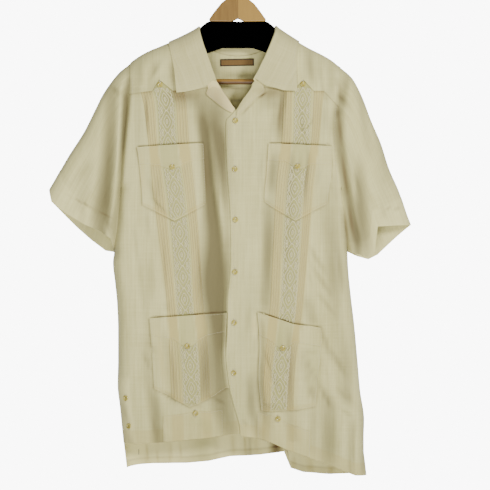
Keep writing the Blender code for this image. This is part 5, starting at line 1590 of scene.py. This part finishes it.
def run_on(across, down, face, lift, apart, shows=None):
    """A run of stitches along a line on the form; shows leaves out what is covered."""
    points, out = place(np.asarray(across, float), np.asarray(down, float), face,
                        np.asarray(lift, float))
    if shows is None:
        return [spaced(points, out, apart)]
    runs, start = [], None
    for k, seen in enumerate(list(shows) + [False]):
        if seen and start is None:
            start = k
        if not seen and start is not None:
            if k - start > 1:
                runs.append(spaced(points[start:k], out[start:k], apart))
            start = None
    return runs


def across_run(runs):
    """The same stitches laid across their line."""
    return [(points, np.cross(out, along), out) for points, along, out in runs]


def on_front(side, across, down):
    """How far out a front's bands show at a place, and whether they show there at all."""
    lift, shows = np.zeros(np.shape(across)), np.ones(np.shape(across), bool)
    for name in POCKETS:
        if side_of(name) != side:
            continue
        lines = POCKET_LINES[name]
        inside = in_pocket(name, across, down, 0.02) > 0.5
        below = down > lines["band"](across) + TOP_CLEAR
        near_edge = (np.abs(lines["bottom"](across) - down) < FOOT_CLEAR) | (
            np.abs(lines["top"](across) - down) < TOP_CLEAR)
        lift = np.where(inside & below, pocket_lift(name, across, down), lift)
        shows &= ~(inside & ~below) & ~near_edge
    for shape in HEM_BANDS.values():
        if shape["side"] == side:
            shows &= down < hem_band_top(shape, across) - 1
    shows &= down > YOKE_SEAM[side](across) + SEAM_CLEAR
    shows &= above_low_pocket(side, across, down) > 0.9
    return lift, shows


def tuck_runs(side):
    """A line of stitches beside each pin tuck, on the front and on its pockets."""
    runs = []
    down = np.arange(*STITCHED_DOWN, 2.0)
    for group in TUCK_GROUPS:
        for k in range(TUCKS_IN_GROUP):
            share = (k + TUCK_STITCHED) / TUCKS_IN_GROUP
            across = between(BANDS[side][group], BANDS[side][group + 1], share)(down)
            lift, shows = on_front(side, across, down)
            runs += run_on(across, down, FRONT, lift + OVER_CLOTH, TUCK_STITCH["apart"], shows)
    return runs


# The embroidery: how long a repeat is, how many there are and where they begin; its lozenges and
# its small corner lozenges as half width, half length, bow and points; its scalloped sides
MOTIF_LENGTH = 43.0
MOTIFS = 17
MOTIF_START = 262.0
LOZENGES = ((11.2, MOTIF_LENGTH / 2 * 0.97, 0.06, 40), (6.0, MOTIF_LENGTH / 2 * 0.56, 0.03, 40),
            (1.6, 4.6, 0.0, 20))
CORNER_LOZENGE = (1.8, 3.6, 0.0, 16)
CORNER_ACROSS = 9.4
CORNER_UP = 3.5
SCALLOP_MIDDLE = 13.9
SCALLOP_DEPTH = 1.3
SCALLOP_LENGTH = 8.6
LOZENGE_POINT = 1.35


def lozenge(half_width, half_length, bow, count):
    """A lozenge with bowed sides, as (across, down) round its middle."""
    t = np.linspace(0, 2 * math.pi, count + 1)
    swell = 1 + bow * np.cos(4 * t)
    return np.stack([half * swell * (np.sign(way) * np.abs(way) ** LOZENGE_POINT)
                     for half, way in ((half_width, np.cos(t)), (half_length, np.sin(t)))], 1)


def motif():
    """One repeat of the embroidery: a lozenge in a lozenge, small ones at the corners and
    scalloped sides."""
    half = MOTIF_LENGTH / 2
    lines = [lozenge(*shape) for shape in LOZENGES]
    wave = np.linspace(-half, half, 30)
    scallop = SCALLOP_MIDDLE + SCALLOP_DEPTH * np.cos(2 * math.pi * wave / SCALLOP_LENGTH)
    for side in (-1, 1):
        lines += [lozenge(*CORNER_LOZENGE) + (side * CORNER_ACROSS, end * (half - CORNER_UP))
                  for end in (-1, 1)]
        lines.append(np.stack((side * scallop, wave), 1))
    return lines


def embroidery_runs(side):
    """Satin stitches across every line of the motifs down a front's strip."""
    outer, inner = BANDS[side][2], BANDS[side][3]
    runs = []
    for k in range(MOTIFS):
        centre = MOTIF_START + MOTIF_LENGTH * (k + 0.5)
        for line in motif():
            down = centre + line[:, 1]
            middle = (outer(down) + inner(down)) / 2
            across = middle + line[:, 0]
            lift, shows = on_front(side, across, down)
            runs += across_run(run_on(across, down, FRONT, lift + SATIN_LIFT, SATIN["apart"], shows))
    return runs


def topstitch_runs():
    """The seams' and hems' visible stitching."""
    apart = TOPSTITCH["apart"]
    runs = []
    for side in (-1, 1):
        seam_x, _ = yoke_columns(side)
        dense = np.linspace(seam_x[2], seam_x[-3], 300)
        runs += run_on(dense, YOKE_SEAM[side](dense) - EDGE_IN, FRONT, YOKE_STITCHED, apart)
        hem_x = np.linspace(EDGE[side](HEM_START), 0, 300)
        down = HEM[side](hem_x) - HEM_DEPTH
        lift, shows = on_front(side, hem_x, down)
        inner = FRONT_EDGE[side](down) if side > 0 else placket_line(down)
        shows &= side * (hem_x - inner) > CLOSING_IN
        runs += run_on(hem_x, down, FRONT, lift + OVER_CLOTH, apart, shows)
        top = float(SHOULDER(EDGE[side](ARMHOLE_TOP))) + ARMHOLE_ENDS[0]
        fall = np.linspace(top, UNDERARM_DOWN - ARMHOLE_ENDS[1], 120)
        for face in (FRONT, BACK):
            runs += run_on(EDGE[side](fall) - side * ARMHOLE_IN, fall, face, ARMHOLE_STITCHED, apart)
    fall = np.linspace(*CLOSING_STITCHED, 300)
    runs += run_on(FRONT_EDGE[1](fall) + CLOSING_STITCH_IN, fall, FRONT, OVER_CLOTH, apart)
    across = np.linspace(*BACK_HEM_STITCHED, 400)
    runs += run_on(across, BACK_HEM_LINE(across) - HEM_DEPTH, BACK, OVER_CLOTH, apart)
    across = np.linspace(*BACK_YOKE_STITCHED, 300)
    runs += run_on(across, across * 0 + YOKE_BACK_DOWN - EDGE_IN, BACK, YOKE_STITCHED, apart)
    for name, lines in POCKET_LINES.items():
        runs += pocket_runs(name, lines, apart)
    for shape in HEM_BANDS.values():
        for across in (shape["start"] + EDGE_IN, shape["end"] - EDGE_IN):
            down = np.linspace(float(hem_band_top(shape, across)) + EDGE_IN,
                               float(HEM[shape["side"]](across)) - SEAM_CLEAR, 60)
            runs += run_on(down * 0 + across, down, FRONT, BAND_LIFT + OVER_CLOTH, apart)
        across = np.linspace(shape["start"], shape["end"], 100)[2:-2]
        down = hem_band_top(shape, across) + EDGE_IN
        runs += run_on(across, down, FRONT, BAND_LIFT + OVER_CLOTH, apart)
    return [run for run in runs if len(run[0])]


def pocket_runs(name, lines, apart):
    """Stitching round a pocket and along its band; the placket covers one pocket's inner side."""
    runs = []
    for key, way in (("outer", -side_of(name)), ("inner", side_of(name))):
        if (name, key) == COVERED_SIDE:
            continue
        down = np.linspace(*POCKETS_DOWN, 500)
        across = lines[key](down) + way * POCKET_IN
        inside = (down > lines["top"](across) + EDGE_IN) & (
            down < lines["bottom"](across) - SEAM_CLEAR)
        lift = pocket_lift(name, across, down) + OVER_POCKET
        on_band = np.where(down < lines["band"](across), BAND_LIFT, 0)
        runs += run_on(across, down, FRONT, lift + on_band, apart, inside)
    for key, shift, raised in POCKET_ROWS_STITCHED:
        across = np.linspace(*POCKETS_ACROSS, 700)
        down = lines[key](across) + shift
        low, high = pocket_sides(name, down)
        inside = (across > low + EDGE_IN) & (across < high - EDGE_IN)
        lift = pocket_lift(name, across, down) + OVER_POCKET + raised
        runs += run_on(across, down, FRONT, lift, apart, inside)
    return runs


def sleeve_runs(grids):
    """Stitching above each sleeve's turned hem."""
    runs = []
    for across, down, face in grids:
        row = int(across.shape[0] * SLEEVE_STITCHED)
        points, out = (np.concatenate((grid, grid[:1])) for grid in
                       place(across[row], down[row], face[row], OVER_POCKET))
        runs.append(spaced(points, out, TOPSTITCH["apart"]))
    return runs


def collar_runs(grid):
    """Stitching 5 mm in from the collar's outer edge and ends."""
    out = unit(grid - offset(grid, 1.0))
    row, first, last = COLLAR_STITCHED
    leaf = slice(grid.shape[0] // 3, row)
    lines = [(row, slice(first, last + 1)), (leaf, first), (leaf, last)]
    return [spaced(grid[at] + out[at] * COLLAR_OVER, out[at], TOPSTITCH["apart"]) for at in lines]


def lapel_runs(grids):
    """Stitching in from each lapel's outer edge."""
    runs = []
    share = (LAPEL_COLUMNS + LAPEL_STITCHED) / LAPEL_COLUMNS
    lift = LAPEL_LIFT + LAPEL_PUFF * bump(2 * share - 1) + 2 * OVER_CLOTH
    for pair in grids:
        across, down = (grid[2:-2, LAPEL_STITCHED] for grid in pair)
        runs += run_on(across, down, FRONT, lift, TOPSTITCH["apart"])
    return runs


def buttonhole_runs():
    """Two rows of close stitches along the buttonhole under each button."""
    runs = []
    for across, down, on in BUTTONS.values():
        fall = np.linspace(down - BUTTONHOLE_HALF, down + BUTTONHOLE_HALF, 60)
        for shift in BUTTONHOLE_ROWS:
            runs += across_run(run_on(fall * 0 + across + shift, fall, FRONT,
                                      button_lift(on, across, down) - 0.1, BUTTONHOLE["apart"]))
    return runs


def vent_buttonhole_runs():
    """The open buttonhole in the turned hem at the foot of the right vent."""
    across, fall = VENT_BUTTONHOLE
    down = np.linspace(*fall, 20)
    return run_on(down * 0 + across, down, BACK, -CLOTH - INSIDE_CLOTH, OPEN_BUTTONHOLE["apart"])


def thread_runs():
    """Thread through each button's middle."""
    runs = []
    for across, down, on in BUTTONS.values():
        spot, out = button_place(across, down, on, THREAD_ABOVE)
        along = np.array((1.0, 0, 0)) - out * out[0]
        up = np.cross(out, along)
        for way in (-THREADS_APART / 2, THREADS_APART / 2):
            runs.append(((spot + up * way)[None], along[None], out[None]))
    return runs


def build_buttons(finish):
    """All the buttons as one piece, each square to the cloth under it."""
    blank = button_mesh()
    points, faces = [], []
    base = np.array([v.co for v in blank.vertices])
    for across, down, on in BUTTONS.values():
        spot, out = button_place(across, down, on)
        turn = Vector(out).to_track_quat("Z", "Y").to_matrix()
        start = sum(len(p) for p in points)
        points.append(base @ np.array(turn).T + spot)
        faces += [[v + start for v in polygon.vertices] for polygon in blank.polygons]
    mesh = bpy.data.meshes.new("shirt_buttons")
    mesh.from_pydata((np.concatenate(points) * MM).tolist(), [], faces)
    mesh.shade_smooth()
    bpy.data.meshes.remove(blank)
    return add_object("shirt_buttons", mesh, finish)


# The felt over the hanger's neck: its outline as across and down, half its depth and its rounding
NECK_COVER = ((-73.2, 164), (-73.2, 142.5), (-58, 130.6), (58, 130.6), (73.2, 142.5), (73.2, 164),
              (62, 174), (-62, 174))
NECK_COVER_HALF = 6.6
NECK_COVER_ROUND = 1.2


def build_neck_cover(finish):
    """The felt drawn over the hanger's neck, out to the collar on both sides."""
    shape = bmesh.new()
    front = shape.faces.new([shape.verts.new((x, -NECK_COVER_HALF, -down)) for x, down in NECK_COVER])
    made = bmesh.ops.extrude_face_region(shape, geom=[front])["geom"]
    moved = [part for part in made if isinstance(part, bmesh.types.BMVert)]
    bmesh.ops.translate(shape, verts=moved, vec=(0, 2 * NECK_COVER_HALF, 0))
    bmesh.ops.bevel(shape, geom=shape.edges[:], offset=NECK_COVER_ROUND, segments=2, affect="EDGES")
    bmesh.ops.recalc_face_normals(shape, faces=shape.faces)
    shape.transform(Matrix.Scale(MM, 4))
    mesh = bpy.data.meshes.new("felt_neck_cover")
    shape.to_mesh(mesh)
    shape.free()
    return add_object("felt_neck_cover", mesh, finish)


# How each sheet was cut flat: width, length and area in metres, how it is held, what it lies on
SHEETS = {
    "back": (0.52, 0.74, 0.335, "hung", "hanger_shoulders"),
    "yoke": (0.43, 0.27, 0.0735, "hung", "hanger_shoulders"),
    "right_front": (0.285, 0.71, 0.18, "hung", "hanger_shoulders"),
    "left_front": (0.285, 0.77, 0.177, "hung", "hanger_shoulders"),
    "right_sleeve": (0.48, 0.29, 0.076, "hung", "hanger_shoulders"),
    "left_sleeve": (0.48, 0.34, 0.075, "hung", "hanger_shoulders"),
    "collar": (0.42, 0.12, 0.041, "folded", "yoke"),
    "right_lapel": (0.055, 0.065, 0.0018, "folded", "right_front"),
    "left_lapel": (0.055, 0.073, 0.0017, "folded", "left_front"),
    "chest_pocket_r": (0.135, 0.152, 0.0169, "laid", "right_front"),
    "chest_pocket_l": (0.133, 0.151, 0.0166, "laid", "left_front"),
    "lower_pocket_r": (0.157, 0.185, 0.0242, "laid", "right_front"),
    "lower_pocket_l": (0.128, 0.194, 0.0206, "laid", "left_front"),
    "chest_band_r": (0.134, 0.054, 0.005, "laid", "chest_pocket_r"),
    "chest_band_l": (0.128, 0.053, 0.0048, "laid", "chest_pocket_l"),
    "lower_band_r": (0.152, 0.07, 0.0071, "laid", "lower_pocket_r"),
    "lower_band_l": (0.128, 0.075, 0.0054, "laid", "lower_pocket_l"),
    "hem_band_r": (0.118, 0.064, 0.006, "laid", "right_front"),
    "hem_band_l": (0.106, 0.09, 0.0055, "laid", "left_front")}
LABEL_SHEET = (0.067, 0.0155, "laid", "yoke")

# Height under which painted shade darkens the trouser bar, in metres
BAR_SHADE = -0.2478

# Camera and light
CAMERA_AWAY = 4.0
VIEW_ACROSS = 0.9555
VIEW_MIDDLE = (0.0146, -0.5658)
FLOOR_DOWN = 1.32
SURROUND_LIGHT = 0.42
SURROUND_SEEN = 9.0
FLOOR_RADIUS = 1.1
LIGHT_AIM = (0, 0, -0.5)
# Each light's name, place, size and power
LIGHTS = (("key", (1.85, -2.3, 0.3), 0.5, 66), ("fill", (-0.4, -2.5, -2.0), 1.2, 72),
          ("front fill", (0.1, -3.4, -0.9), 0.5, 10), ("rear", (-1.2, 2.8, 0.1), 1.2, 55))


def build_stage():
    """A plain pale floor, a white surround and soft studio light."""
    floor_finish = Finish("studio_floor", roughness=0.9, base_color=tone(238, 238, 236))
    mesh = bpy.data.meshes.new("studio_floor")
    floor = bmesh.new()
    bmesh.ops.create_circle(floor, cap_ends=True, segments=96, radius=FLOOR_RADIUS)
    floor.transform(Matrix.Translation((0, 0, -FLOOR_DOWN)))
    floor.to_mesh(mesh)
    floor.free()
    add_object("studio_floor", mesh, floor_finish.material)
    world = bpy.data.worlds.new("studio")
    bpy.context.scene.world = world
    world.use_nodes = True
    tree = world.node_tree
    path, choice = tree.nodes.new("ShaderNodeLightPath"), tree.nodes.new("ShaderNodeMixShader")
    tree.links.new(path.outputs["Is Camera Ray"], choice.inputs[0])
    surrounds = (tree.nodes["Background"], tree.nodes.new("ShaderNodeBackground"))
    for k, (glow, strength) in enumerate(zip(surrounds, (SURROUND_LIGHT, SURROUND_SEEN)), 1):
        glow.inputs["Color"].default_value = (1, 1, 1, 1)
        glow.inputs["Strength"].default_value = strength
        tree.links.new(glow.outputs[0], choice.inputs[k])
    tree.links.new(choice.outputs[0], tree.nodes["World Output"].inputs["Surface"])
    for name, spot, size, power in LIGHTS:
        light = bpy.data.lights.new(name, "AREA")
        light.size, light.energy = size, power
        holder = bpy.data.objects.new(name, light)
        bpy.context.scene.collection.objects.link(holder)
        holder.location = spot
        aim = Vector(LIGHT_AIM) - Vector(spot)
        holder.rotation_euler = aim.to_track_quat("-Z", "Y").to_euler()


def build_camera():
    """Square to the front, far off, as the photo looks at it."""
    camera = bpy.data.cameras.new("camera")
    camera.lens = camera.sensor_width * CAMERA_AWAY / VIEW_ACROSS
    holder = bpy.data.objects.new("camera", camera)
    holder.location = (VIEW_MIDDLE[0], -CAMERA_AWAY, VIEW_MIDDLE[1])
    holder.rotation_euler = (math.pi / 2, 0, 0)
    bpy.context.scene.collection.objects.link(holder)
    bpy.context.scene.camera = holder


def paint_node(name, finish):
    """Gives a solid of the frame its finish."""
    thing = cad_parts[name]
    thing.data.materials.clear()
    thing.data.materials.append(finish)


def ready(piece, slot, *nodes):
    """A finished piece hides its solids and rides on the shirt; the slot is not used."""
    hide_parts(*nodes)
    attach(piece, BODY)


def make_cloth_pieces():
    """Every cut piece of cloth but the label, and the grids that the stitching follows."""
    cloth = cloth_finish("linen_cloth", tone(228, 221, 154), tone(202, 194, 128))
    collar_cloth = cloth_finish("collar_cloth", tone(219, 211, 150), tone(196, 188, 126), 0.8)
    # The right lapel's facing: a paler, pinker copy of the cloth, partly its own tone, partly painted
    # light against the shade of its downward slope
    lit_facing_cloth = cloth_finish("lit_facing_cloth", tone(255, 241, 176), tone(255, 231, 162), 0.8)
    pieces = {"right_front": build_front(-1, "right_front_cloth", cloth),
              "left_front": build_front(1, "left_front_cloth", cloth),
              "back": build_back(cloth), "yoke": build_yoke(cloth)}
    sleeve_grids, lapel_grids = [], []
    for side, name, cuff in ((-1, "right_sleeve", RIGHT_CUFF), (1, "left_sleeve", LEFT_CUFF)):
        pieces[name], grid = build_sleeve(side, name + "_cloth", cuff, cloth)
        sleeve_grids.append(grid)
    for name in POCKETS:
        pieces[name] = build_pocket(name, cloth)
        pieces[name.replace("pocket", "band")] = build_pocket_band(name, cloth)
    for name in HEM_BANDS:
        pieces[name] = build_hem_band(name, cloth)
    pieces["collar"], collar_grid = build_collar(collar_cloth)
    for name in LAPELS:
        pieces[name], grid = build_lapel(name, lit_facing_cloth if "right" in name else collar_cloth)
        lapel_grids.append(grid)
    return pieces, sleeve_grids, collar_grid, lapel_grids


def declare_sheets(pieces):
    """Hides the solids each piece of cloth stands for and puts the piece on the shirt; its sheet's sizes
    and what it lies on are looked up but not used.
    """
    for name, piece in pieces.items():
        ready(piece, "cloth", name)
        width, length, area, held, under = SHEETS[name]
        below = pieces[under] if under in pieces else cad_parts[under]
        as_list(below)


def sew_everything(sleeve_grids, collar_grid, lapel_grids):
    """All the stitching, each kind one piece."""
    tree = sewing_tree()
    seam_thread = thread_finish("seam_thread", tone(214, 206, 170))
    silk = thread_finish("embroidery_thread", tone(216, 208, 148), 0.5)
    hole_thread = thread_finish("buttonhole_thread", tone(76, 60, 30))
    button_thread = thread_finish("button_thread", tone(150, 136, 84))
    topstitching = (topstitch_runs() + sleeve_runs(sleeve_grids) + collar_runs(collar_grid)
                    + lapel_runs(lapel_grids))
    for name, runs, kind, thread in (
            ("topstitching", topstitching, TOPSTITCH, seam_thread),
            ("right_tuck_stitching", tuck_runs(-1), TUCK_STITCH, seam_thread),
            ("left_tuck_stitching", tuck_runs(1), TUCK_STITCH, seam_thread),
            ("right_embroidery", embroidery_runs(-1), SATIN, silk),
            ("left_embroidery", embroidery_runs(1), SATIN, silk),
            ("buttonholes", buttonhole_runs(), BUTTONHOLE, seam_thread),
            ("vent_buttonhole", vent_buttonhole_runs(), OPEN_BUTTONHOLE, hole_thread),
            ("button_threads", thread_runs(), BUTTON_THREAD, button_thread)):
        trim = sew(name, tree, runs, kind, thread)
        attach(trim, BODY)


def finish_hanger():
    """Wood for the head and the bar, felt for the shoulders and the neck, wire for the hook."""
    paint_node("hanger_head", wood_finish("head_wood", tone(140, 106, 42), tone(120, 88, 30),
                                          (3, 3, 0.25), halves=True))
    paint_node("hanger_bar", wood_finish("bar_wood", tone(162, 122, 48), tone(128, 90, 28),
                                         (0.2, 3, 3), shaded_below=BAR_SHADE))
    felt = Finish("black_felt", base_color=(0.0004, 0.0004, 0.0004, 1), roughness=1.0)
    felt.shader.inputs["Specular IOR Level"].default_value = 0.0
    felt.set(normal=felt.bumped(felt.noise(felt.own_place(), 900, 2), 0.4, 0.0004))
    paint_node("hanger_shoulders", felt.material)
    neck_cover = build_neck_cover(felt.material)
    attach(neck_cover, BODY)
    wire = Finish("drawn_wire", metallic=1.0, roughness=0.28, base_color=(0.6, 0.6, 0.6, 1))
    wire.set(normal=wire.bumped(wire.noise(wire.own_place(), 700, 2), 0.1, 0.0001))
    paint_node("hanger_hook", wire.material)


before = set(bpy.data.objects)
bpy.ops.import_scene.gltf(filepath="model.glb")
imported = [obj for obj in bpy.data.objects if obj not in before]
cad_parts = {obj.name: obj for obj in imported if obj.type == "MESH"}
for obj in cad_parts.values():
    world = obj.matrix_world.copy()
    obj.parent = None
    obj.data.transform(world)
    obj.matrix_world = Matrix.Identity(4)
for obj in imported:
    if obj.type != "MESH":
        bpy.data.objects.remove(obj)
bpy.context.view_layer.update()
build_camera()
build_stage()
cloth_pieces, *stitched_grids = make_cloth_pieces()
declare_sheets(cloth_pieces)
sew_everything(*stitched_grids)
label = build_label(label_finish())
ready(label, "label", "neck_label")
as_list(cloth_pieces[LABEL_SHEET[3]])
ready(build_buttons(pearl_finish()), "pearl", *BUTTONS)
finish_hanger()
